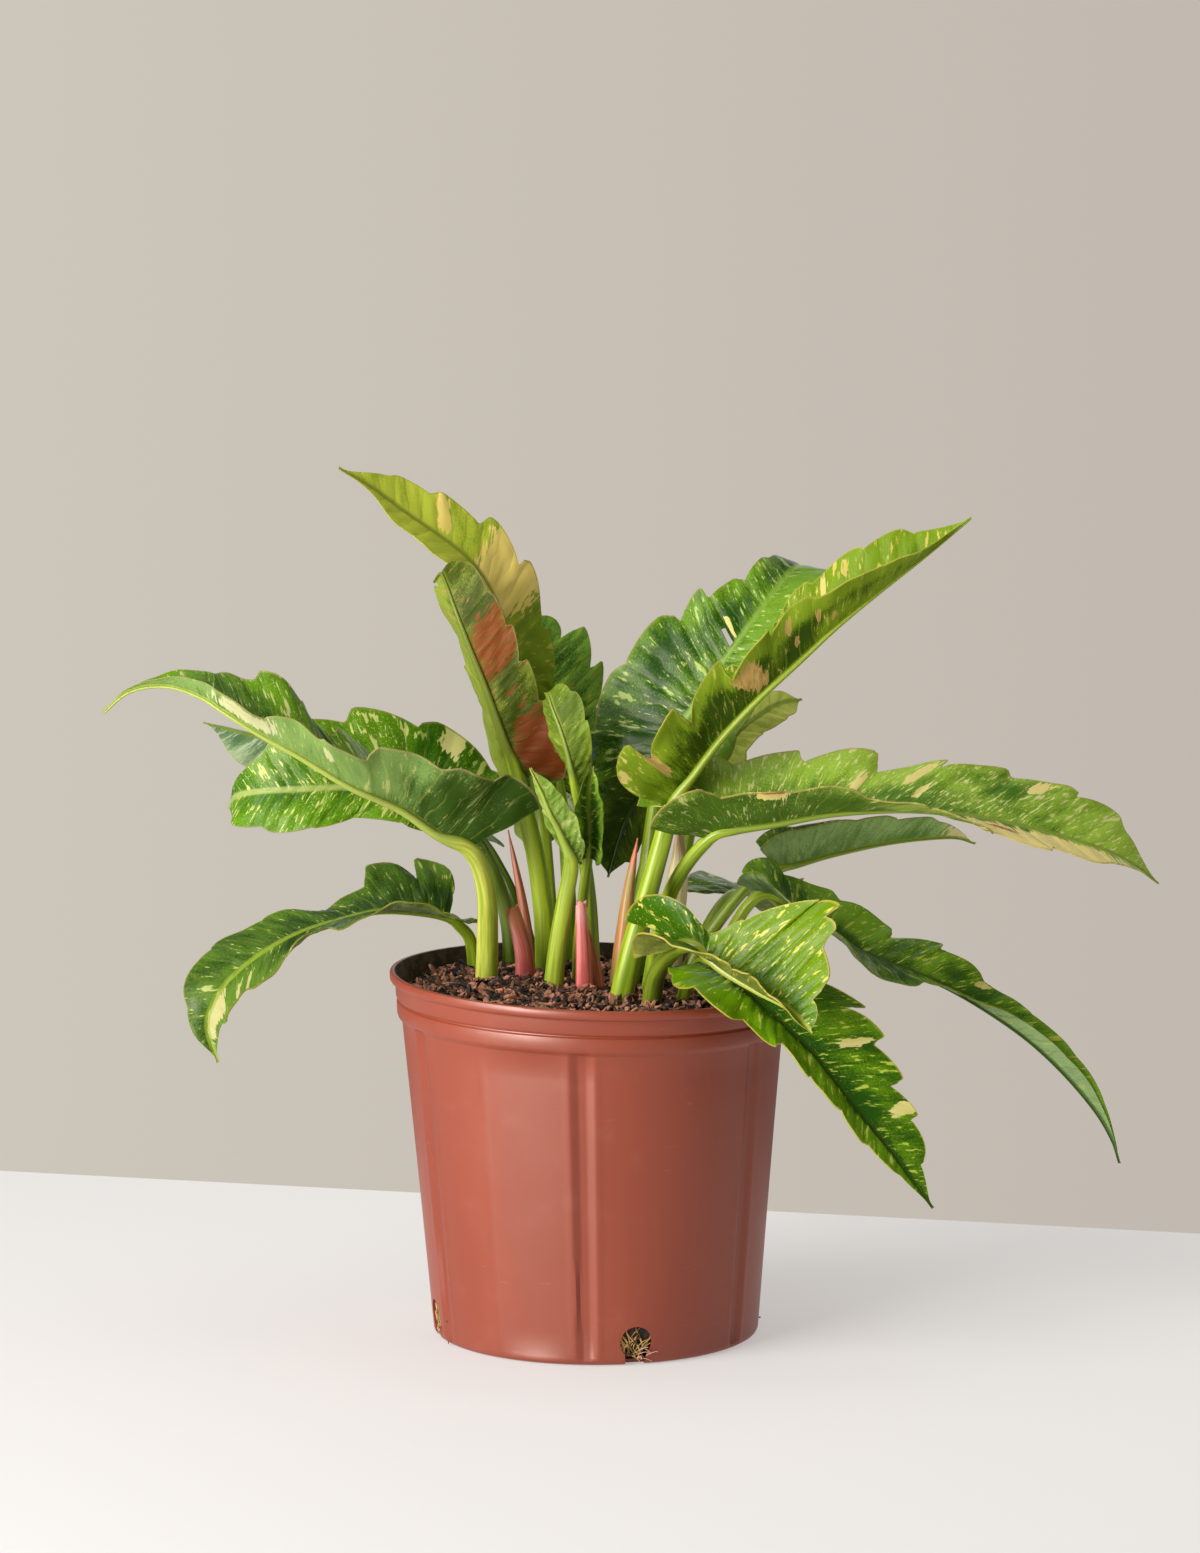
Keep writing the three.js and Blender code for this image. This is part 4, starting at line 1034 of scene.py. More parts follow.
# The main, light and dark colour of each sheath, and its tip's.
SCALE_LEAVES: dict[Finish, tuple[Colour, Colour, Colour, Colour]] = {
    Finish.PINK: ((204, 84, 82), (222, 122, 112), (166, 56, 48), (228, 150, 142)),
    Finish.PLUM: ((170, 66, 66), (200, 108, 92), (96, 34, 48), (204, 124, 78)),
    Finish.RUST: ((146, 70, 46), (182, 110, 76), (86, 44, 28), (160, 84, 56)),
    Finish.ORANGE: ((206, 128, 82), (150, 140, 62), (130, 104, 44), (218, 104, 76)),
    Finish.HUSK: ((244, 222, 150), (250, 236, 178), (140, 98, 62), (150, 98, 60)),
}

# The colour and the roughness of each matt finish.
MATT: dict[Finish, tuple[Colour, float]] = {
    Finish.PERLITE: ((226, 222, 212), 0.8),
    Finish.ROOTLET: ((214, 160, 138), 0.6),
    Finish.TEAL: ((40, 150, 140), 0.5),
}


class Stuff(Bench):
    """The nodes of one material that isn't a leaf's."""

    def plastic(self) -> Material:
        """Soft moulded plastic: a satin skin with faint flow marks, dust and scuffs.

        Returns:
            The finished material.
        """
        place = self.object_place()
        flow = self.noise(place, (9.0, 9.0, 3.0), 2.0)
        dust = self.noise(place, 34.0, 4.0, 0.6)
        scuff = self.noise(place, (60.0, 60.0, 420.0), 2.0)
        height = self.parts(place)[2]
        colour = self.mix(flow.step(0.3, 0.7), paint((134, 53, 29)), paint((145, 61, 34)))
        colour = self.mix(dust.step(0.55, 0.85) * 0.1, colour, paint((190, 130, 108)))
        colour = self.mix(scuff.step(0.7, 0.78) * 0.12, colour, paint((196, 142, 122)))
        colour = self.mix(height.step(0.035, 0.0) * 0.2, colour, paint((120, 62, 48)))
        self.relief(dust * 0.3 + flow, 0.0008, 0.25)
        return self.finish(colour, 0.42 + (dust - 0.5) * 0.1, Specular_IOR_Level=0.55)

    def crumbs(self, dark: Colour, light: Colour) -> Material:
        """Composted bark: each few millimetres has its own brown, with a grain along it.

        Args:
            dark: The darkest brown.
            light: The lightest.

        Returns:
            The finished material.
        """
        place = self.object_place()
        cell = self.cells(place, 210.0)
        grain = self.noise(place, (900.0, 300.0, 900.0), 2.0)
        tone = (cell * 0.9 + grain * 0.4 - 0.15).step(0.25, 0.95)
        colour = self.mix(tone, paint(dark), paint(light))
        self.relief(grain, 0.0006, 0.8)
        return self.finish(colour, 0.75 + (grain - 0.5) * 0.3, Specular_IOR_Level=0.4)

    def matt(self, colour: Colour, roughness: float) -> Material:
        """A matt stuff with a little variation in its tone.

        Args:
            colour: Its colour.
            roughness: Its roughness.

        Returns:
            The finished material.
        """
        tone = self.noise(self.object_place(), 60.0, 2.0)
        darker = toned(colour, 0.9, 0.9, 0.9)
        return self.finish(self.mix(tone, paint(darker), paint(colour)), roughness)

    def table_top(self) -> Material:
        """A smooth matt table top of one tone, lit a little from inside."""
        glow = {"Emission_Color": paint((235, 231, 228)), "Emission_Strength": 0.5}
        return self.finish(paint((175, 172, 170)), 0.9, **glow)

    def scale_leaf(self, main: Colour, light: Colour, dark: Colour, tip: Colour) -> Material:
        """A sheath or spear: fine streaks along it, a dark foot and a tip of its own colour.

        Args:
            main: Its colour.
            light: Its pale streaks.
            dark: Its foot and dark streaks.
            tip: Its tip.

        Returns:
            The finished material.
        """
        place = self.surface_place()
        _, along, _ = self.parts(place)
        streak = self.noise(place, (14.0, 1.6, 1.0), 3.0, 0.6)
        colour = self.mix(streak.step(0.4, 0.62), paint(main), paint(light))
        colour = self.mix(streak.step(0.42, 0.3) * 0.6, colour, paint(dark))
        colour = self.mix(along.step(0.45, 0.1) * 0.6, colour, paint(dark))
        colour = self.mix((along + (streak - 0.5) * 0.3).step(0.8, 0.95) * 0.8, colour, paint(tip))
        self.relief(streak, 0.0005, 0.6)
        return self.finish(colour, 0.42 + (streak - 0.5) * 0.2)


# Modelling


def alone(piece: Piece) -> None:
    """Selects one piece and makes it active.

    Args:
        piece: The piece.
    """
    bpy.ops.object.select_all(action="DESELECT")
    piece.select_set(True)
    bpy.context.view_layer.objects.active = piece


def started(name: str, primitive: Callable[..., object], **sizes: object) -> Piece:
    """Adds a primitive with nothing else selected.

    Args:
        name: The new piece's name.
        primitive: The operator that adds it.
        sizes: The operator's own settings, by name.

    Returns:
        The new piece.
    """
    bpy.ops.object.select_all(action="DESELECT")
    primitive(**sizes)
    piece = bpy.context.object
    piece.name = name
    return piece


def applied(piece: Piece, kind: str, **settings: object) -> None:
    """Adds a modifier to a piece and applies it.

    Args:
        piece: The piece.
        kind: The modifier's type.
        settings: Its settings, by name.
    """
    alone(piece)
    modifier = piece.modifiers.new(kind.lower(), kind)
    for name, value in settings.items():
        setattr(modifier, name, value)
    bpy.ops.object.modifier_apply(modifier=modifier.name)


def joined(first: Piece, *others: Piece) -> Piece:
    """Joins pieces into the first one.

    Args:
        first: The piece that takes them in.
        others: The pieces that become part of it.

    Returns:
        The first piece.
    """
    alone(first)
    for other in others:
        other.select_set(True)
    bpy.ops.object.join()
    return first


def softened(piece: Piece, degrees: float) -> None:
    """Shades a piece smooth but for its edges that are sharper than that many degrees."""
    alone(piece)
    bpy.ops.object.shade_smooth_by_angle(angle=math.radians(degrees))


def places_of(piece: Piece) -> np.ndarray:
    """A piece's points, in millimetres.

    Args:
        piece: The piece.

    Returns:
        Its points' places, one row for each.
    """
    flat = np.empty(len(piece.data.vertices) * 3)
    piece.data.vertices.foreach_get("co", flat)
    return flat.reshape(-1, 3) / MM


def place_all(piece: Piece, points: np.ndarray) -> None:
    """Moves a piece's points to new places, in millimetres."""
    piece.data.vertices.foreach_set("co", (points * MM).ravel())
    piece.data.update()


@contextmanager
def editing() -> Iterator[None]:
    """Edit mode on the active piece, with all of it selected, and back to object mode."""
    bpy.ops.object.mode_set(mode="EDIT")
    bpy.ops.mesh.select_all(action="SELECT")
    yield
    bpy.ops.object.mode_set(mode="OBJECT")


def closed_up(piece: Piece) -> None:
    """Merges a piece's doubled points and turns its faces outwards.

    Args:
        piece: The piece.
    """
    alone(piece)
    with editing():
        bpy.ops.mesh.remove_doubles(threshold=2e-6)
        bpy.ops.mesh.normals_make_consistent(inside=False)


def settled(piece: Piece, node: str | None) -> Piece:
    """Puts a finished piece on the part.

    Args:
        piece: The piece.
        node: The solid that it stands for, or None.

    Returns:
        The piece.
    """
    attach(piece, "root")
    if node is not None:
        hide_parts(node)
    log.info("%s: %d faces", piece.name, len(piece.data.polygons))
    return piece


class Net:
    """A sheet of quads that is drawn out of a grid primitive."""

    def __init__(self, name: str, points: np.ndarray, surface: np.ndarray) -> None:
        """Adds a grid and lays it on the points.

        Args:
            name: The piece's name.
            points: The places by row and column, in millimetres.
            surface: The surface map's two numbers by row and column.
        """
        rows, columns = points.shape[:2]
        grid = {"x_subdivisions": columns - 1, "y_subdivisions": rows - 1, "size": 2}
        self.piece = started(name, bpy.ops.mesh.primitive_grid_add, **grid)
        mesh = self.piece.data
        across, along, _ = (places_of(self.piece) * MM).T
        self.column = np.rint((across + 1) / 2 * (columns - 1)).astype(int)
        self.row = np.rint((along + 1) / 2 * (rows - 1)).astype(int)
        corners = np.empty(len(mesh.loops), int)
        mesh.loops.foreach_get("vertex_index", corners)
        places = surface[self.row, self.column][corners]
        mesh.uv_layers.active.data.foreach_set("uv", places.ravel())
        place_all(self.piece, points[self.row, self.column])

    def mark(self, name: str, kind: str, values: np.ndarray) -> None:
        """Gives each point a value of its own.

        Args:
            name: The attribute's name.
            kind: FLOAT_VECTOR or FLOAT_COLOR.
            values: The values by row and column.
        """
        attribute = self.piece.data.attributes.new(name, kind, "POINT")
        field_name = "vector" if kind == "FLOAT_VECTOR" else "color"
        attribute.data.foreach_set(field_name, values[self.row, self.column].ravel())

    def weigh(self, name: str, weights: np.ndarray) -> None:
        """Puts the points into a vertex group.

        Args:
            name: The group's name.
            weights: The weights by row and column.
        """
        group = self.piece.vertex_groups.new(name=name)
        for index, weight in enumerate(weights[self.row, self.column]):
            group.add([index], float(weight), "REPLACE")

    def cut(self, gone: np.ndarray) -> None:
        """Deletes the faces of marked points.

        Args:
            gone: True by row and column for each point that goes.
        """
        alone(self.piece)
        with editing():
            bpy.ops.mesh.select_all(action="DESELECT")
        self.piece.data.vertices.foreach_set("select", gone[self.row, self.column])
        bpy.ops.object.mode_set(mode="EDIT")
        bpy.ops.mesh.delete(type="VERT")
        bpy.ops.object.mode_set(mode="OBJECT")


class Tint(Enum):
    """What a patch does to its part of the blade, by the attribute's channel."""

    CREAM = 0
    FLUSH = 1
    LIME = 2
    # SHADE is painted shade: it darkens the green where the blade lies in shade, and turns a flush
    # there a darker red.
    SHADE = 3


@dataclass(frozen=True)
class Patch:
    """A part of a blade round a place, which a tint colours or a slit takes out.

    q is its row from the base, 0, to the tip, 1, and t its column from the midrib, 0, to the
    margin, 1 on the right half and -1 on the left. long and wide are its half sizes in the same
    shares, and slant is how far it leans along the blade from its middle outwards.
    """

    tint: Tint
    q: float
    t: float
    long: float
    wide: float
    strength: float = 1.0
    slant: float = 0.0


@dataclass
class Leaf:
    """One leaf of the plant: petiole, midrib and blade."""

    node: str
    growth: Growth
    skin: Skin = field(default_factory=Skin)
    patches: tuple[Patch, ...] = ()
    slits: tuple[Patch, ...] = ()

    def __post_init__(self) -> None:
        """Works out the leaf's surfaces."""
        self.shape = LeafShape(self.growth)

    def tints(self) -> np.ndarray:
        """How strongly each patch kind shows, by row, column and channel.

        Returns:
            The strengths, from 0 to 1.
        """
        rows, columns = np.meshgrid(self.shape.rows, self.shape.columns, indexing="ij")
        tints = np.zeros((*rows.shape, 4))
        for patch in self.patches:
            centre = patch.q + patch.slant * (np.abs(columns) - abs(patch.t))
            along, across = (rows - centre) / patch.long, (columns - patch.t) / patch.wide
            off = np.sqrt(along**4 + across**4)
            depth = np.clip(1 - 0.5 * off, 0, 1) * patch.strength
            channel = tints[:, :, patch.tint.value]
            tints[:, :, patch.tint.value] = np.maximum(channel, depth)
        return tints

    def blade(self) -> Piece:
        """The blade, laid out on a grid and given its thickness.

        Returns:
            The blade.
        """
        shape = self.shape
        points, reach = shape.blade()
        rows, columns = np.meshgrid(shape.rows, shape.columns, indexing="ij")
        # Each leaf reads its own part of the patterns, by its seed.
        run = rows * shape.line.length * (1 - shape.base) / MAP_UNIT
        surface = np.stack([run + self.growth.seed * 0.73, reach / MAP_UNIT], axis=2)
        net = Net("grown_" + self.node, points, surface)
        lines = [shape.vein_number(columns, rows), np.abs(columns), rows]
        net.mark("lines", "FLOAT_VECTOR", np.stack(lines, axis=2))
        net.mark("tints", "FLOAT_COLOR", self.tints())
        broad = np.abs(reach[:, [0, -1]]).max(axis=1)
        stout = np.clip(broad / STOUT_WIDTH, 0.12, 1)
        net.weigh("stout", np.repeat(stout[:, None], len(shape.columns), axis=1))
        for slit in self.slits:
            off = ((rows - slit.q) / slit.long) ** 2 + ((columns - slit.t) / slit.wide) ** 2
            net.cut(off < 1)
        for upper in (True, False):
            face = "upper" if upper else "under"
            net.piece.data.materials.append(self.skin.blade(f"{self.node}_{face}", upper))
        applied(
            net.piece,
            "SOLIDIFY",
            offset=0.0,
            material_offset=1,
            use_even_offset=False,
            thickness=BLADE_THICKNESS * MM,
            vertex_group="stout",
            thickness_vertex_group=0.0,
        )
        return net.piece

    def stalk(self) -> Piece:
        """The stem and midrib as one tapering tube.

        Returns:
            The tube.
        """
        rings, along = self.shape.stalk()
        around = np.linspace(0, 1, rings.shape[1])
        turns, runs = np.meshgrid(around, along / MAP_UNIT, indexing="xy")
        net = Net("stalk_" + self.node, rings, np.stack([turns, runs + self.growth.seed], axis=2))
        blade_at = along / self.shape.line.length - self.shape.base
        rib = np.clip(blade_at / 0.05, 0, 1)
        values = np.repeat(rib[:, None], rings.shape[1], axis=1)
        net.mark("tints", "FLOAT_COLOR", np.stack([values] * 4, axis=2))
        net.piece.data.materials.append(self.skin.stalk(f"{self.node}_stalk"))
        closed_up(net.piece)
        return net.piece

    def build(self) -> Piece:
        """Makes the leaf in place of its solid.

        Returns:
            The finished leaf.
        """
        leaf = joined(self.blade(), self.stalk())
        softened(leaf, 60)
        return settled(leaf, self.node)


@dataclass
class Sheath:
    """A scale leaf, spear or husk that stands in the soil, hollowed towards its stem.

    torn is how uneven its top is, in millimetres. cut is the share of its taper that its top is
    short of, narrow how much slimmer it grows upwards, and blunt how square its point is.
    """

    FINEST: ClassVar[float] = 0.5
    HOLLOW: ClassVar[float] = 0.32
    RIBS: ClassVar[int] = 7
    RIB_HEIGHT: ClassVar[float] = 0.04

    node: str
    line: tuple[Triple, ...]
    width: float
    thick: float
    face: Triple
    finish: Finish
    slot: str
    torn: float = 0.0
    cut: float = 0.0
    narrow: float = 0.0
    blunt: float = 2.2
    sides: int = 28
    rings: int = 60

    def points(self) -> tuple[np.ndarray, np.ndarray]:
        """The sheath's rings.

        Returns:
            The points by ring and side in millimetres, and each ring's share of the length.
        """
        line = GrowthLine(self.line)
        shares = np.linspace(0, 1, self.rings) ** 0.9
        shares = np.array([shares[0], *shares, shares[-1]])
        turns = np.linspace(0, 2 * math.pi, self.sides + 1)
        rings = np.zeros((len(shares), len(turns), 3))
        for i, share in enumerate(shares):
            heading = line.heading(share)
            normal = upright_to(np.array(self.face, float), heading)
            right = np.cross(heading, normal)
            taper = (1 - self.narrow * share) * (1 - (share * (1 - self.cut)) ** self.blunt) ** 0.8
            wide = max(self.width * taper, self.FINEST)
            thick = max(self.thick * min(taper * 1.3, 1), self.FINEST)
            closed = 0.02 if i in (0, len(shares) - 1) else 1.0
            side = np.cos(turns)
            ribs = 1 + self.RIB_HEIGHT * np.cos(turns * self.RIBS + share * 3)
            torn = self.torn * share * share * np.sin(turns * 3 + 1) * closed
            back = -thick * closed * np.sin(turns) * ribs
            back -= self.HOLLOW * (wide - thick) * side * side
            rings[i] = line.at(share) + np.outer(wide * closed * side * ribs, right)
            rings[i] += np.outer(back, normal)
            rings[i] += np.outer(torn, heading)
        return rings, shares

    def build(self) -> Piece:
        """Makes the sheath in place of its solid.

        Returns:
            The finished sheath.
        """
        rings, shares = self.points()
        around = np.linspace(0, 1, rings.shape[1])
        turns, runs = np.meshgrid(around, shares, indexing="xy")
        net = Net("grown_" + self.node, rings, np.stack([turns, runs], axis=2))
        net.piece.data.materials.append(self.finish.material())
        closed_up(net.piece)
        softened(net.piece, 70)
        return settled(net.piece, self.node)


def turned(name: str, profile: list[Pair], segments: int) -> Piece:
    """Turns a closed shell from rings that start and end on the axis.

    Args:
        name: The piece's name.
        profile: The radius and height of each ring after the first centre point, in millimetres.
        segments: How many points each ring has.

    Returns:
        The shell, with its first and last rings closed by a fan of faces.
    """
    radius, height = profile[0]
    disc = {"radius": radius * MM, "fill_type": "TRIFAN", "location": (0, 0, height * MM)}
    piece = started(name, bpy.ops.mesh.primitive_circle_add, vertices=segments, **disc)
    bpy.ops.object.transform_apply(location=True, rotation=True, scale=True)
    with editing():
        bpy.ops.mesh.region_to_loop()
        for (radius, height), (wider, higher) in zip(profile, profile[1:]):
            rise = {"value": (0, 0, (higher - height) * MM)}
            bpy.ops.mesh.extrude_edges_move(TRANSFORM_OT_translate=rise)
            ratio = wider / radius
            bpy.ops.transform.resize(value=(ratio, ratio, 1), center_override=(0, 0, 0))
        bpy.ops.mesh.edge_face_add()
        bpy.ops.mesh.poke()
        bpy.ops.mesh.select_all(action="SELECT")
        bpy.ops.mesh.normals_make_consistent(inside=False)
    return piece


@dataclass
class Pot:
    """The soft nursery pot, in millimetres and degrees."""

    # Places of the section, outwards and upwards from the wall's foot, the wall's top and the rim.
    FOOT: ClassVar[tuple] = ((-6, 0), (-3, 0.3), (-1.2, 1.4), (-0.2, 3.2))
    COLLAR: ClassVar[tuple] = (
        (0.6, -1.6), (2.4, -0.4), (3.1, 1.6), (3.3, 8), (3.1, 9.3), (2, 10.2), (1.9, 10.8),
        (3.1, 11.6), (3.7, 12.8),
    )  # fmt: skip
    RIM: ClassVar[tuple] = (
        (-3.6, -8.2), (-3.2, -6.8), (-0.8, -5.9), (-0.1, -4.8), (0, -1.4), (-0.5, -0.4), (-1.4, 0),
        (-3.2, 0), (-4, -0.8),
    )  # fmt: skip
    FLOOR_RADIUS: ClassVar[float] = 60

    height: float = 235.0
    rim: float = 131.5
    wall_top: float = 124.0
    base: float = 106.5
    wall: float = 2.4
    collar: float = 28.0
    flutes: int = 6
    flute_turn: float = 3.0
    flute_half: float = 2.3
    flute_edge: float = 3.1
    flute_depth: float = 1.9
    lip_height: float = 0.5
    seam_turn: float = -32.0
    seam_height: float = 0.45
    panel_half: float = 13.5
    panel_depth: float = 1.2
    dent_depth: float = 0.5
    lean: float = 2.8
    rim_tip: float = 4.5
    drains: int = 4
    drain_turn: float = 14.0
    drain_radius: float = 10.5
    drain_height: float = 15.0
    stain_height: float = 26.0
    segments: int = 288

    def profile(self) -> list[Pair]:
        """The half section from the underside, out, up, and down inside.

        Returns:
            The radius and height of each of its rings.
        """
        top, low, high = self.height - self.collar, self.base - self.wall, self.wall_top - self.wall
        outer = [
            (lerp(self.base, self.wall_top, k / 12), lerp(5, top - 3, k / 12)) for k in range(13)
        ]
        inner = [(lerp(high, low, k / 6), lerp(top - 6, self.wall + 3, k / 6)) for k in range(7)]
        return [
            (self.FLOOR_RADIUS, 0),
            *((self.base + out, up) for out, up in self.FOOT),
            *outer,
            *((self.wall_top + out, top + up) for out, up in self.COLLAR),
            *((self.rim + out, self.height + up) for out, up in self.RIM),
            (self.wall_top + 3.6 - self.wall, self.height - 8),
            *inner,
            (low - 3, self.wall),
            (self.FLOOR_RADIUS, self.wall),
        ]

    def shape(self, points: np.ndarray) -> np.ndarray:
        """Presses the flutes and seams into upright pot points and lets the pot lean.

        Args:
            points: The turned pot's points.

        Returns:
            The soft pot's points.
        """
        radius = np.hypot(points[:, 0], points[:, 1])
        angle = np.degrees(np.arctan2(points[:, 0], -points[:, 1])) + self.flute_turn
        span = 360 / self.flutes
        off = np.abs((angle + span / 2) % span - span / 2)
        up = points[:, 2] / self.height
        on_wall = radius > lerp(self.base, self.wall_top, up) - self.wall - 1.2
        top = self.height - self.collar
        low = smooth(points[:, 2], top + 0.5, top - 3) * smooth(points[:, 2], 2.0, 6.0)
        channel = 1 - smooth(off, self.flute_half, self.flute_edge)
        lip = np.exp(-(((off - self.flute_edge - 0.9) / 0.9) ** 2))
        seam = np.exp(-(((angle - self.seam_turn) / 0.4) ** 2))
        aside = (angle - self.seam_turn - self.panel_half) / self.panel_half
        flat = np.clip(1 - aside**2, 0, 1)
        raised = -self.flute_depth * channel + self.lip_height * lip + self.seam_height * seam
        press = (raised - self.panel_depth * flat) * low * on_wall
        dent = self.dent_depth * np.sin(np.radians(angle * 2 + 40)) * np.sin(up * math.pi)
        out = 1 + (press + dent * on_wall) / np.maximum(radius, 1)
        return self.leaned(points * np.stack([out, out, np.ones_like(out)], axis=1))

    def drain_turns(self) -> list[float]:
        """Each drain hole's angle from the front, in degrees."""
        return [self.drain_turn + hole * 360 / self.drains for hole in range(self.drains)]

    def drain_cutter(self, turn: float) -> Piece:
        """A round plug with a straight foot that cuts one drain hole.

        Args:
            turn: Its angle from the front, in degrees.

        Returns:
            The cutter.
        """
        round_plug = {"vertices": 40, "radius": self.drain_radius * MM, "depth": 16 * MM}
        plug = started("drain_cutter", bpy.ops.mesh.primitive_cylinder_add, **round_plug)
        x, y, z = places_of(plug).T
        lying = np.stack([x, -z - self.base + 1, y + self.drain_height], axis=1)
        foot = lying[:, 2] < self.drain_height - self.drain_radius * 0.72
        lying[foot, 2] = -4.0
        around = Matrix.Rotation(math.radians(turn), 3, "Z")
        place_all(plug, lying @ np.array(around).T)
        return plug

    def build(self) -> Piece:
        """Makes the pot in place of its solid.

        Returns:
            The finished pot.
        """
        pot = turned("moulded_pot", self.profile(), self.segments)
        for turn in self.drain_turns():
            cutter = self.drain_cutter(turn)
            applied(pot, "BOOLEAN", object=cutter, operation="DIFFERENCE", solver="EXACT")
            bpy.data.objects.remove(cutter)
        place_all(pot, self.shape(places_of(pot)))
        for finish in (Finish.PLASTIC, Finish.STAINED):
            pot.data.materials.append(finish.material())
        for face in pot.data.polygons:
            middle = face.center / MM
            aside = math.hypot(middle.x + self.lean * middle.z / self.height, middle.y)
            inwards = middle.x * face.normal.x + middle.y * face.normal.y < 0.0
            if middle.z > self.stain_height and inwards and aside < self.rim - 3.6:
                face.material_index = 1
        softened(pot, 40)
        return settled(pot, "pot")

    def leaned(self, points: np.ndarray) -> np.ndarray:
        """Upright points, leaned and tipped as the soft pot is.

        Args:
            points: The places in an upright pot.

        Returns:
            Their places in the soft one.
        """
        share = np.maximum(points[:, 2] / self.height, 0)
        moved = points.copy()
        moved[:, 2] += -points[:, 0] / self.rim * self.rim_tip * share**2
        moved[:, 0] -= self.lean * share
        return moved


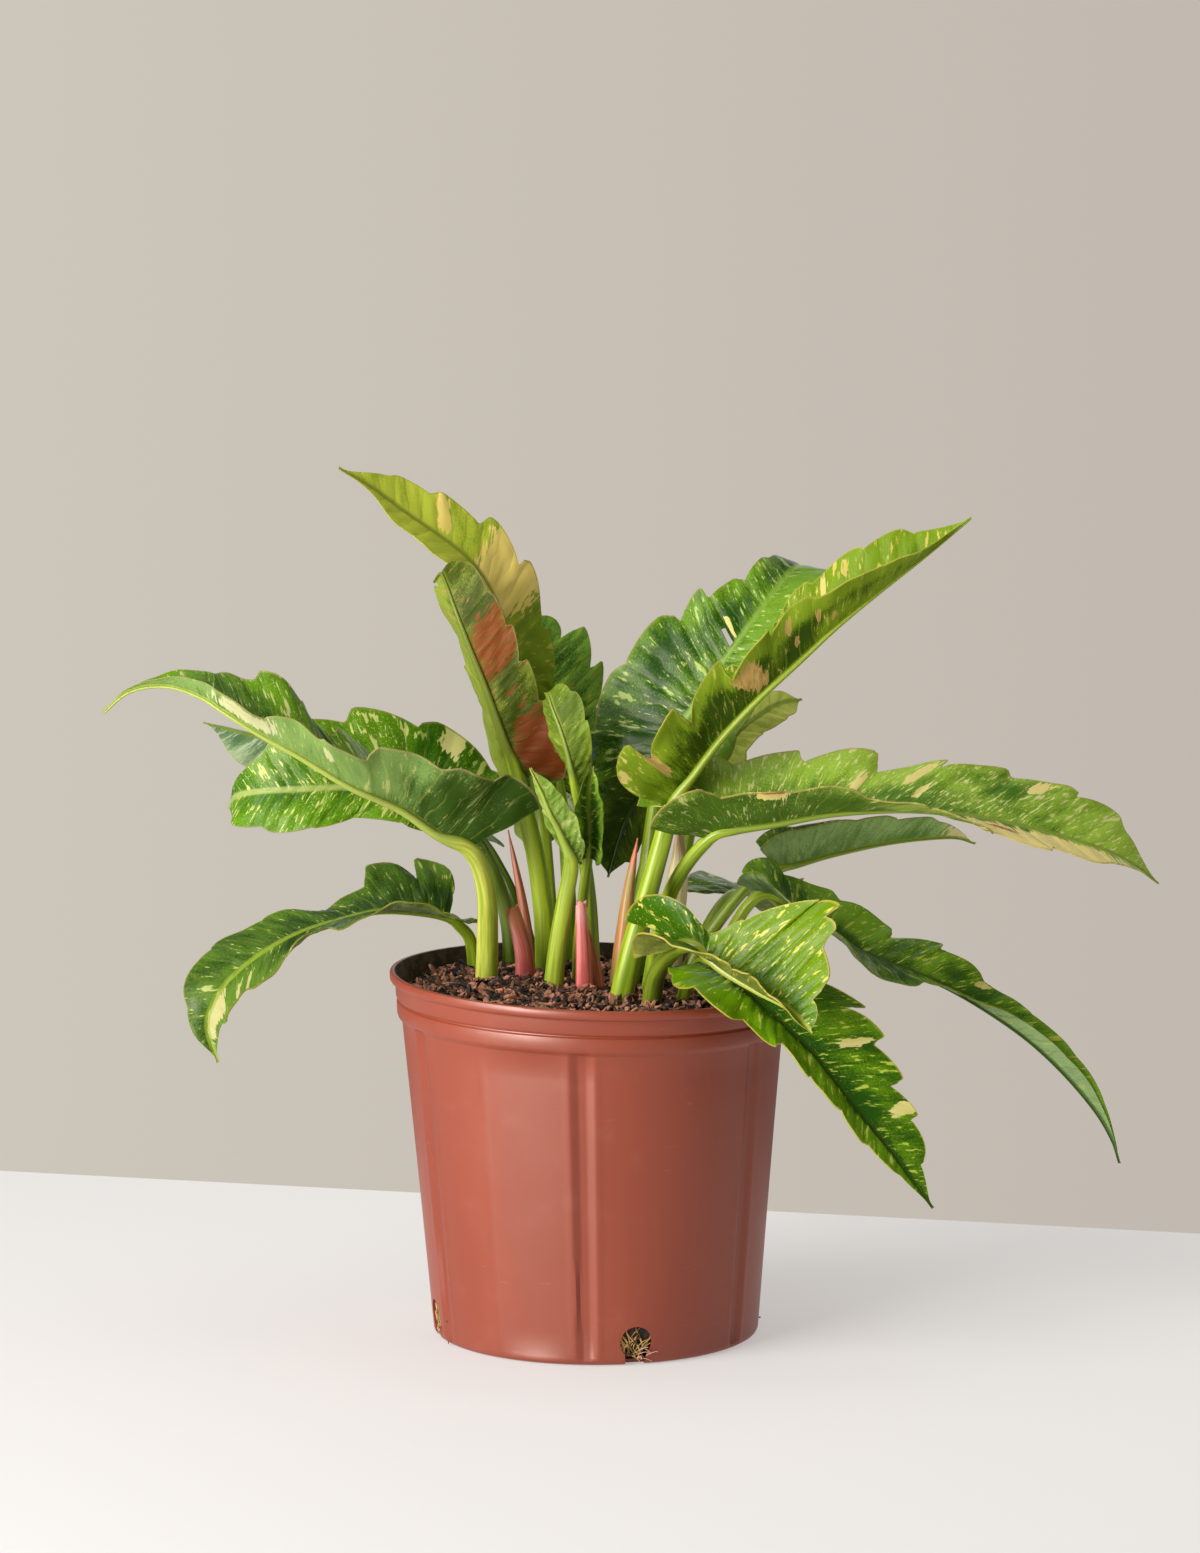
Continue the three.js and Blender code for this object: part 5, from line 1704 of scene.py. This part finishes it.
@dataclass
class Soil:
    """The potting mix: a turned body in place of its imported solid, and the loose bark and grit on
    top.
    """

    pot: Pot
    edge_height: float = 223.5
    heap: float = 3.5
    bump: float = 1.4
    gap: float = 1.1
    bare_edge: float = 2.5
    chips: int = 3700
    fleck_place: Pair = (-86, 70)
    seed: int = 11
    rings: int = 44
    segments: int = 160

    def top(self, x: np.ndarray, y: np.ndarray) -> np.ndarray:
        """The height of the soil's surface, in millimetres.

        Args:
            x: The places to the right of the pot's middle.
            y: The places behind it.

        Returns:
            The heights there.
        """
        out = np.minimum(np.hypot(x, y) / self.pot.wall_top, 1)
        bumps = np.sin(x * 0.09 + 1) * np.cos(y * 0.11) + 0.6 * np.sin(x * 0.23 - y * 0.19)
        return self.edge_height + self.heap * (1 - out * out) + self.bump * bumps

    def inner(self, height: float) -> float:
        """The filling's radius at a height, in millimetres."""
        wall = lerp(self.pot.base, self.pot.wall_top, height / (self.pot.height - self.pot.collar))
        return wall - self.pot.wall - self.gap

    def body(self) -> Piece:
        """The packed soil, with a crumbly top.

        Returns:
            The finished body in place of its solid.
        """
        edge = self.inner(self.edge_height)
        sides = [(self.inner(h), h) for h in (20, 60, 110, 160, self.edge_height - 6)]
        rings = [(edge * (1 - k / self.rings), self.edge_height) for k in range(1, self.rings)]
        foot = [(self.pot.FLOOR_RADIUS, 3.4), (self.pot.base - 5.4, 6.4)]
        profile = [*foot, *sides, (edge, self.edge_height), *rings]
        body = turned("packed_soil", profile, self.segments)
        points = places_of(body)
        upper = points[:, 2] > self.edge_height - 1
        x, y = points[upper, 0], points[upper, 1]
        coarse = np.sin(x * 0.9 + 2 * np.sin(y * 0.7)) * np.cos(y * 0.8)
        fine = np.sin(x * 2.3 + y * 1.7) * np.sin(y * 2.9 - x * 0.6)
        points[upper, 2] = self.top(x, y) + (0.5 * coarse + 0.3 * fine - 0.4)
        place_all(body, self.pot.leaned(points))
        body.data.materials.append(Finish.EARTH.material())
        softened(body, 60)
        return settled(body, "soil")

    def chip(self, kind: int) -> Piece:
        """One crumb of bark: a bevelled block with uneven corners.

        Args:
            kind: Which of the shapes it is.

        Returns:
            The crumb, about one millimetre each way.
        """
        crumb = started("crumb", bpy.ops.mesh.primitive_cube_add, size=1.0)
        with editing():
            bpy.ops.mesh.bevel(offset=0.18 + 0.03 * kind, segments=1)
        draw = np.random.default_rng(100 + kind)
        points = places_of(crumb)
        place_all(crumb, points * (1 + draw.uniform(-0.16, 0.16, points.shape)))
        return crumb

    def strewn(self, name: str, models: list[Piece], count: int, sizes: Pair, seed: int) -> Piece:
        """Copies of a few crumbs, laid at random over the soil.

        Args:
            name: The piece's name.
            models: The crumbs.
            count: How many copies.
            sizes: The smallest and largest length, in millimetres.
            seed: The draw's seed.

        Returns:
            All the copies as one piece.
        """
        draw = np.random.default_rng(seed)
        copies = []
        edge = self.inner(self.edge_height) - self.bare_edge
        for k in range(count):
            radius, angle = edge * math.sqrt(draw.random()), draw.uniform(0, 2 * math.pi)
            x, y = radius * math.cos(angle), radius * math.sin(angle)
            long = lerp(*sizes, draw.random() ** 2.2)
            shape = Vector((long, long * draw.uniform(0.2, 0.55), long * draw.uniform(0.14, 0.36)))
            turn = Euler((draw.normal(0, 0.6), draw.normal(0, 0.6), draw.uniform(0, 6.283)))
            lift = shape.z * draw.uniform(0.05, 0.6) + draw.uniform(0, 2.4) * (draw.random() < 0.4)
            spot = self.pot.leaned(np.array([[x, y, float(self.top(x, y)) + lift]]))[0]
            copy = models[k % len(models)].copy()
            copy.data = copy.data.copy()
            copy.data.transform(Matrix.LocRotScale(Vector(spot) * MM, turn, shape * MM))
            bpy.context.scene.collection.objects.link(copy)
            copies.append(copy)
        for model in models:
            bpy.data.objects.remove(model)
        strewn = joined(*copies)
        strewn.name = name
        return strewn

    def build(self) -> list[Piece]:
        """Makes the soil and what lies on it.

        Returns:
            The finished pieces.
        """
        pieces = [self.body()]
        loose = (
            ("bark_crumbs", Finish.BARK, self.chips, (1.6, 10.0), 4, self.seed),
            ("pale_splinters", Finish.SPLINTER, 150, (2.0, 7.0), 2, self.seed + 2),
            ("white_grit", Finish.PERLITE, 14, (1.2, 2.6), 1, self.seed + 1),
        )
        for name, finish, count, sizes, kinds, seed in loose:
            models = [self.chip(kind) for kind in range(kinds)]
            piece = self.strewn(name, models, count, sizes, seed)
            piece.data.materials.append(finish.material())
            softened(piece, 25)
            pieces.append(settled(piece, None))
        fleck = self.chip(0)
        fleck.name = "teal_fleck"
        spot = Vector((*self.fleck_place, float(self.top(*self.fleck_place)) + 2.2)) * MM
        size = Vector((3.2, 2.2, 1.4)) * MM
        fleck.data.transform(Matrix.LocRotScale(spot, Euler((0.5, 0.3, 0.5)), size))
        fleck.data.materials.append(Finish.TEAL.material())
        pieces.append(settled(fleck, None))
        return pieces


@dataclass
class Roots:
    """Fine roots that mat the soil behind each drain hole, and a few that hang out of it."""

    pot: Pot
    soil: Soil
    strands: int = 24
    curls: int = 6
    seed: int = 5
    step: float = 3.4
    lowest: float = 1.5
    highest: float = 25

    def strand(self, points: list[Vector], thickness: float) -> Piece:
        """One root: a thin round line through points, in millimetres.

        Args:
            points: The places that it passes.
            thickness: Its radius in millimetres.

        Returns:
            The root as a mesh.
        """
        root = started("strand", bpy.ops.curve.primitive_nurbs_path_add)
        spline = root.data.splines[0]
        spline.points.add(len(points) - len(spline.points))
        for point, place in zip(spline.points, points):
            point.co = (*(place * MM), 1.0)
        spline.use_endpoint_u = True
        root.data.bevel_depth = thickness * MM
        root.data.bevel_resolution = 1
        root.data.resolution_u = 3
        root.data.use_fill_caps = True
        bpy.ops.object.convert(target="MESH")
        return bpy.context.object

    def mat(self, draw: np.random.Generator) -> list[Vector]:
        """The line of one root that climbs the soil behind a hole.

        Args:
            draw: The source of the draws.

        Returns:
            The points that it passes, for a hole at the front.
        """
        x, z, run = draw.uniform(-9, 9), draw.uniform(1.5, 12), draw.normal(math.pi / 2, 0.5)
        points = []
        for _ in range(6):
            out = self.soil.inner(max(z, 6)) + draw.uniform(-0.2, 1.5)
            points.append(Vector((x, -out, z)))
            run += draw.normal(0, 0.45)
            higher = z + math.sin(run) * self.step
            x, z = x + math.cos(run) * self.step, min(max(higher, self.lowest), self.highest)
        return points

    def curl(self, draw: np.random.Generator) -> list[Vector]:
        """The line of one thin root that hangs out at a hole's right foot.

        Args:
            draw: The source of the draws.

        Returns:
            The points that it passes, for a hole at the front.
        """
        start = Vector((draw.uniform(1, 7), -self.pot.base + 1.0, draw.uniform(3, 11)))
        bend = start + Vector((draw.uniform(1, 5), -2.2 - draw.uniform(0, 1), draw.uniform(-2, 3)))
        end = bend + Vector((draw.uniform(0, 5), 0.4, draw.uniform(-3, 2)))
        end.z = max(end.z, 0.6)
        rising = (start + bend) / 2 + Vector((0, -0.8, 0.6))
        hanging = (bend + end) / 2 + Vector((0.8, 0, 0.6))
        return [start, rising, bend, hanging, end]

    def build(self) -> list[Piece]:
        """Makes the roots of all the drain holes.

        Returns:
            The finished pieces.
        """
        draw = np.random.default_rng(self.seed)
        turns = self.pot.drain_turns()
        kinds = (
            ("root_mat", Finish.ROOT, self.mat, self.strands, (0.3, 0.6)),
            ("root_curls", Finish.ROOTLET, self.curl, self.curls, (0.22, 0.3)),
        )
        pieces = []
        for name, finish, line, count, sizes in kinds:
            roots = []
            for turn in turns:
                around = Matrix.Rotation(math.radians(turn), 3, "Z")
                for _ in range(count):
                    points = [around @ point for point in line(draw)]
                    roots.append(self.strand(points, draw.uniform(*sizes)))
            piece = joined(*roots)
            piece.name = name
            piece.data.materials.append(finish.material())
            pieces.append(settled(piece, None))
        return pieces


@dataclass(frozen=True)
class Studio:
    """The floor, the light and the camera, in metres and degrees."""

    eye: Triple = (0.0026, -4.0, 0.94)
    pitch: float = 8.17
    lens: float = 144.6
    aim: Triple = (0, 0, 0.25)
    floor_half: float = 3.0
    floor_front: float = -3.2
    floor_back: float = 0.3965
    floor_slant: float = 0.25
    floor_drop: float = 0.0003
    wall_left: Colour = (205, 198, 187)
    wall_right: Colour = (193, 185, 175)
    wall_blend: float = 0.1
    air: Colour = (240, 238, 234)

    def floor(self) -> None:
        """A plain pale floor, whose back edge runs a little askew."""
        floor = started("floor", bpy.ops.mesh.primitive_plane_add, size=1.0)
        points = places_of(floor) * MM * 2
        back = points[:, 1] > 0
        points[:, 0] *= self.floor_half
        far = self.floor_back - self.floor_slant * points[:, 0]
        points[:, 1] = np.where(back, far, self.floor_front)
        points[:, 2] = -self.floor_drop
        place_all(floor, points / MM)
        floor.data.materials.append(Finish.FLOOR.material())

    def aimed(self, light: bpy.types.Light, place: Triple) -> Piece:
        """Hangs a light at a place, turned towards the plant.

        Args:
            light: The light.
            place: Where it hangs.

        Returns:
            The lamp that holds it.
        """
        lamp = bpy.data.objects.new(light.name, light)
        lamp.location = place
        way = Vector(self.aim) - Vector(place)
        lamp.rotation_euler = way.to_track_quat("-Z", "Y").to_euler()
        bpy.context.scene.collection.objects.link(lamp)
        return lamp

    def softbox(
        self, name: str, place: Triple, size: Pair, power: float, sheen_only: bool = False
    ) -> None:
        """A soft lamp.

        Args:
            name: Its name.
            place: Where it hangs.
            size: Its width and height.
            power: Its power in watts.
            sheen_only: True for a warm lamp that only shows as a sheen on glossy things.
        """
        light = bpy.data.lights.new(name, "AREA")
        light.shape, light.size, light.size_y = "RECTANGLE", *size
        light.energy = power
        if sheen_only:
            light.color = (1.0, 0.86, 0.7)
        self.aimed(light, place).visible_diffuse = not sheen_only

    def sun(self, strength: float, softness: float, place: Triple) -> None:
        """Broad even light from one side.

        Args:
            strength: Its strength.
            softness: How wide it looks, in degrees.
            place: A point in its direction.
        """
        light = bpy.data.lights.new("window", "SUN")
        light.energy, light.angle = strength, math.radians(softness)
        self.aimed(light, place)

    def backdrop(self, strength: float) -> bpy.types.World:
        """The wall's tone behind the plant, and a dimmer light from all round.

        Args:
            strength: How bright it lights the plant.

        Returns:
            The world.
        """
        world = bpy.data.worlds.new("backdrop")
        world.use_nodes = True
        nodes = Nodes(world.node_tree)
        lit = nodes.tree.nodes["Background"]
        nodes.feed(lit.inputs["Color"], paint(self.air))
        nodes.feed(lit.inputs["Strength"], strength)
        way = nodes.add("ShaderNodeTexCoord").outputs["Generated"]
        ends = {"From Min": -self.wall_blend, "From Max": self.wall_blend}
        ramp = nodes.add("ShaderNodeMapRange", None, {"Value": nodes.parts(way)[0], **ends})
        wall = nodes.mix(ramp.outputs["Result"], paint(self.wall_left), paint(self.wall_right))
        seen = nodes.add("ShaderNodeBackground", None, {"Color": wall}).outputs[0]
        ray = nodes.add("ShaderNodeLightPath").outputs["Is Camera Ray"]
        choice = nodes.add("ShaderNodeMixShader", None, {0: ray, 1: lit.outputs[0], 2: seen})
        nodes.feed(nodes.tree.nodes["World Output"].inputs["Surface"], choice.outputs[0])
        return world

    def build(self) -> None:
        """Sets the floor, the lamps, the backdrop's tone and the camera."""
        self.floor()
        self.softbox("softbox", (-1.47, -1.27, 0.68), (1.5, 1.36), 45.0)
        self.sun(strength=1.25, softness=45.0, place=(-0.8, -0.56, 0.85))
        self.softbox("overhead", (0.1, 0.2, 2.3), (1.6, 1.2), 9.0)
        self.softbox("sheen_strip", (-0.92, -1.18, 0.46), (0.46, 0.9), 32.0, sheen_only=True)
        self.softbox("back_fill", (0.7, 2.3, 1.3), (2.4, 1.4), 9.0)
        scene = bpy.context.scene
        scene.world = self.backdrop(strength=0.29)
        scene.view_settings.view_transform = "Standard"
        camera = bpy.data.cameras.new("camera")
        camera.lens = self.lens
        holder = bpy.data.objects.new("camera", camera)
        holder.location = self.eye
        holder.rotation_euler = (math.radians(90 - self.pitch), 0, 0)
        scene.collection.objects.link(holder)
        scene.camera = holder


# The plant

SHEATHS = (
    Sheath(
        "sheath_pink_left", ((-45, 23, 222), (-47, 22, 248), (-54, 21, 274)), 9.5, 3.2,
        (0.6, -0.8, 0), Finish.PLUM, "sheath", torn=3.5, cut=0.3, narrow=0.4, blunt=7,
    ),
    Sheath(
        "sheath_pink_front", ((-7, -12, 222), (-8, -12.5, 252), (-9.5, -12.5, 284)), 7.2, 2.6,
        (0.3, -1, 0), Finish.PINK, "sheath", torn=2.5, cut=0.25, narrow=0.48, blunt=12,
    ),
    Sheath(
        "sheath_brown_front", ((1, -5, 222), (-2, -5, 244), (-5, -5, 266)), 7, 2, (0.2, -1, 0),
        Finish.RUST, "spear", torn=1.5,
    ),
    Sheath(
        "spear_orange", ((14, 2, 222), (18, 0, 262), (22, -2, 296), (27, -4, 326)), 6.4, 5,
        (0, -1, 0), Finish.ORANGE, "spear",
    ),
    Sheath(
        "sheath_rust_back", ((-42, 66, 222), (-48, 68, 268), (-58, 70, 320)), 4.2, 1.8, (0, -1, 0),
        Finish.RUST, "sheath",
    ),
    Sheath(
        "husk_cream", ((48, 34, 222), (50, 30, 262), (54, 28, 300), (54, 28, 326)), 9, 1.8,
        (0.3, -1, 0), Finish.HUSK, "husk", torn=4.0, blunt=5,
    ),
)  # fmt: skip

SKINS: dict[str, Skin] = {
    "leaf_left_long": Skin(
        deep=(36, 74, 4), fresh=(100, 145, 12), under=(59, 88, 27), under_fresh=(119, 149, 75),
        fleck=(198, 198, 124), flecks=0.5, cream=(188, 186, 140), edge=(170, 152, 96),
        stem=(210, 210, 92), stem_dark=(148, 168, 38), rib=(164, 178, 76),
    ),
    "leaf_left_low": Skin(
        deep=(33, 60, 14), fresh=(86, 118, 33), fleck=(176, 184, 104), flecks=0.08, gloss=0.34,
        cream=(178, 168, 114),
    ),
    "leaf_left_broad": Skin(
        deep=(37, 84, 2), fresh=(91, 136, 8), fleck=(206, 206, 120), flecks=0.65,
        rib=(158, 172, 92), cream=(226, 216, 140), stem=(96, 124, 24), stem_dark=(58, 82, 12),
    ),
    "leaf_left_back": Skin(
        deep=(96, 131, 85), fresh=(177, 198, 146), fleck=(188, 200, 164), flecks=0.9,
        edge=(176, 180, 140), stem=(96, 124, 24), stem_dark=(58, 82, 12),
    ),
    "leaf_tall_left": Skin(
        deep=(124, 151, 28), fresh=(189, 200, 62), under=(110, 132, 44), under_fresh=(150, 168, 76),
        fleck=(196, 184, 66), flecks=0.25, rib=(140, 150, 50), cream=(250, 222, 122),
        edge=(160, 152, 60),
    ),
    "leaf_salmon_back": Skin(
        under=(60, 74, 12), under_fresh=(134, 150, 52), fleck=(190, 116, 84), flecks=0.3,
        rib=(112, 124, 34), flush=(148, 79, 35), cream=(196, 184, 112), edge=(140, 124, 60),
    ),
    "leaf_tall_right": Skin(
        deep=(44, 84, 10), fresh=(115, 144, 18), under=(49, 73, 3), under_fresh=(120, 146, 26),
        fleck=(206, 186, 92), flecks=0.45, flush=(208, 168, 96), edge=(168, 160, 60),
        rib=(146, 166, 44),
    ),
    "leaf_upright_right": Skin(
        deep=(30, 68, 4), fresh=(103, 143, 23), fleck=(176, 190, 104), flecks=0.4,
        rib=(118, 150, 48),
    ),
    "leaf_right_long": Skin(
        deep=(71, 115, 19), fresh=(153, 188, 53), under=(73, 105, 26), under_fresh=(146, 170, 63),
        fleck=(220, 216, 140), flecks=0.8, cream=(236, 215, 131), flush=(190, 92, 40),
        edge=(172, 152, 84),
    ),
    "leaf_right_back": Skin(
        under=(90, 124, 54), under_fresh=(150, 180, 107), fleck=(176, 182, 120), flecks=0.5,
        cream=(206, 194, 140),
    ),
    "leaf_right_drooping": Skin(
        deep=(48, 84, 19), fresh=(113, 155, 35), under=(80, 110, 57), under_fresh=(139, 165, 108),
        fleck=(186, 190, 70), flecks=0.6, rib=(60, 88, 24), gloss=0.32, edge=(110, 120, 40),
    ),
    "leaf_front": Skin(
        deep=(56, 98, 3), fresh=(102, 135, 3), under=(92, 109, 37), under_fresh=(144, 148, 68),
        fleck=(214, 206, 96), flecks=0.42, edge=(186, 164, 68), rib=(160, 168, 60),
        stem=(128, 144, 36), stem_dark=(84, 102, 20),
    ),
    "leaf_right_low": Skin(
        deep=(34, 78, 3), fresh=(98, 140, 3), fleck=(184, 196, 76), flecks=0.42, rib=(46, 72, 6),
        cream=(220, 208, 130), edge=(170, 160, 60),
    ),
    "leaf_young_front": Skin(
        under=(92, 124, 34), under_fresh=(150, 176, 80), fleck=(208, 208, 140), flecks=1.0,
        rib=(160, 178, 72), stem=(178, 194, 60), stem_dark=(128, 150, 34), cream=(214, 208, 160),
    ),
    "leaf_young_cupped": Skin(
        deep=(52, 92, 18), fresh=(122, 160, 48), edge=(120, 140, 40), flecks=0.4,
    ),
    "leaf_young_folded": Skin(
        deep=(84, 108, 20), fresh=(124, 146, 38), under=(80, 102, 24), under_fresh=(126, 148, 44),
        flecks=0.12, rib=(132, 150, 50),
    ),
    "leaf_dark_centre": Skin(
        deep=(42, 77, 20), fresh=(124, 170, 59), fleck=(156, 162, 50), flecks=0.6, rib=(60, 90, 20),
        gloss=0.32,
    ),
    "leaf_hanging_centre": Skin(
        deep=(23, 44, 3), fresh=(55, 85, 9), under=(44, 66, 8), under_fresh=(94, 121, 19),
        flecks=0.1, rib=(40, 66, 8), edge=(52, 74, 14), stem=(92, 116, 30), stem_dark=(52, 74, 12),
    ),
    "leaf_back_right": Skin(
        deep=(187, 200, 79), fresh=(221, 227, 111), flecks=0.2, edge=(104, 70, 36),
    ),
}  # fmt: skip


def patches(**kinds: tuple[tuple[float, ...], ...]) -> tuple[Patch, ...]:
    """The patches of one blade: the numbers of each, under the names of their tints."""
    return tuple(Patch(Tint[kind.upper()], *row) for kind, rows in kinds.items() for row in rows)


# The shade rows are painted shade, which darkens the blades where they lie in shade, most at their
# bases among the other leaves, such as leaf_right_long's base in the shadow of leaf_tall_right.
PATCHES: dict[str, tuple[Patch, ...]] = {
    "leaf_tall_left": patches(
        cream=((0.67, 0.6, 0.022, 0.4), (0.44, 0.5, 0.094, 0.74, 1.0, -0.05)),
        lime=(
            (0.86, 0.3, 0.05, 0.5), (0.7, 0.5, 0.05, 0.7, 0.6), (0.97, 0.0, 0.2, 2.0, 0.5),
            (0.5, -0.6, 0.8, 0.8),
        ),
        shade=((0.16, 0.9, 0.12, 0.8),),
    ),
    "leaf_salmon_back": patches(
        flush=(
            (0.56, -0.55, 0.1, 0.56), (0.36, -0.45, 0.009, 0.16), (0.15, -0.66, 0.12, 0.5),
            (0.68, -0.45, 0.006, 0.1), (0.3, -0.6, 0.005, 0.1),
        ),
        lime=((0.6, 0.6, 0.7, 0.7),),
        shade=((0.12, -0.7, 0.2, 0.6), (0.68, -1.0, 0.04, 0.12), (0.5, -0.6, 0.7, 0.7, 0.62)),
    ),
    "leaf_left_long": patches(
        cream=((0.68, -0.62, 0.085, 0.36, 0.85), (0.47, -0.62, 0.016, 0.2, 0.8)),
        lime=((1.0, 0.0, 0.16, 2.0), (0.5, -0.5, 0.3, 0.8, 0.8)),
        shade=((0.06, -0.6, 0.2, 0.9),),
    ),
    "leaf_left_broad": patches(
        cream=((0.215, 0.92, 0.02, 0.26),),
        lime=((0.5, 0.6, 0.2, 0.7, 0.45), (0.5, -0.6, 0.5, 0.7, 0.4)),
    ),
    "leaf_left_low": patches(
        cream=((0.875, -0.4, 0.07, 0.38), (0.75, -0.75, 0.01, 0.26), (0.71, -0.7, 0.006, 0.3)),
        lime=((0.82, -0.6, 0.18, 0.7, 0.75),),
    ),
    "leaf_tall_right": patches(
        cream=((0.05, 0.85, 0.08, 0.4, 0.4), (0.645, -0.8, 0.008, 0.3, 0.9)),
        flush=(
            (0.42, 0.5, 0.028, 0.4, 1.0, -0.09), (0.54, 0.72, 0.009, 0.16),
            (0.56, 0.37, 0.008, 0.1), (0.62, 0.6, 0.008, 0.14), (0.66, 0.35, 0.006, 0.1),
            (0.12, 0.75, 0.016, 0.36),
        ),
        lime=((0.05, 0.8, 0.14, 0.7), (0.55, 1.0, 0.4, 0.34), (0.85, -0.5, 0.25, 0.9)),
        shade=((0.42, 0.25, 0.26, 0.42, 0.5),),
    ),
    "leaf_right_long": patches(
        cream=(
            (0.21, 1.0, 0.03, 0.22), (0.74, 0.72, 0.15, 0.5), (0.36, -0.5, 0.01, 0.24),
            (0.45, -0.7, 0.012, 0.2), (0.5, -0.42, 0.008, 0.16), (0.68, -0.8, 0.014, 0.16),
        ),
        flush=((0.67, 0.42, 0.03, 0.08), (0.21, 1.05, 0.024, 0.1)),
        lime=((0.2, -1.0, 0.3, 0.5, 0.6), (0.95, -0.3, 0.2, 1.2, 0.7)),
        shade=((0.12, 0.5, 0.2, 0.8, 0.8),),
    ),
    "leaf_right_back": patches(cream=((0.93, 0.6, 0.08, 0.5, 0.9),)),
    "leaf_right_drooping": patches(
        cream=((0.56, -0.8, 0.012, 0.16),),
        lime=((1.0, 0.0, 0.3, 2.0), (0.25, -0.7, 0.08, 0.4)),
    ),
    "leaf_front": patches(
        lime=((0.5, -0.9, 0.3, 0.4, 0.8),),
        shade=((0.06, -0.6, 0.14, 0.7),),
    ),
    "leaf_right_low": patches(
        cream=((0.54, -0.66, 0.014, 0.24), (0.73, -0.78, 0.018, 0.26, 1.0, -0.06)),
        lime=((0.45, 0.75, 0.6, 0.5),),
        shade=((0.55, 0.0, 0.5, 0.16, 0.7),),
    ),
    "leaf_upright_right": patches(
        cream=((0.51, -0.3, 0.007, 0.22),),
        lime=((0.5, 0.7, 0.6, 0.7, 0.9), (0.6, -1.0, 0.4, 0.4, 0.25)),
        shade=((0.2, -0.4, 0.25, 0.6, 0.4),),
    ),
    "leaf_young_cupped": patches(
        lime=((0.5, 1.0, 0.6, 0.3),),
        shade=((0.5, 0.0, 0.5, 0.4),),
    ),
    "leaf_young_front": patches(cream=((0.95, 0.0, 0.08, 0.5, 0.9),)),
}  # fmt: skip

SLITS: dict[str, tuple[Patch, ...]] = {
    "leaf_upright_right": (Patch(Tint.SHADE, 0.485, -0.21, 0.006, 0.15),),
}


def main() -> None:
    """Builds the pot, the soil and the plant, and sets the studio round them."""
    logging.basicConfig(level=logging.INFO, format="%(name)s: %(message)s")
    Studio().build()
    pot = Pot()
    pot.build()
    soil = Soil(pot)
    soil.build()
    Roots(pot, soil).build()
    for node, growth in GROWTHS.items():
        skin = SKINS.get(node, Skin())
        Leaf(node, growth, skin, PATCHES.get(node, ()), SLITS.get(node, ())).build()
    for sheath in SHEATHS:
        sheath.build()
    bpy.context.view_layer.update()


if __name__ == "__main__":
    main()
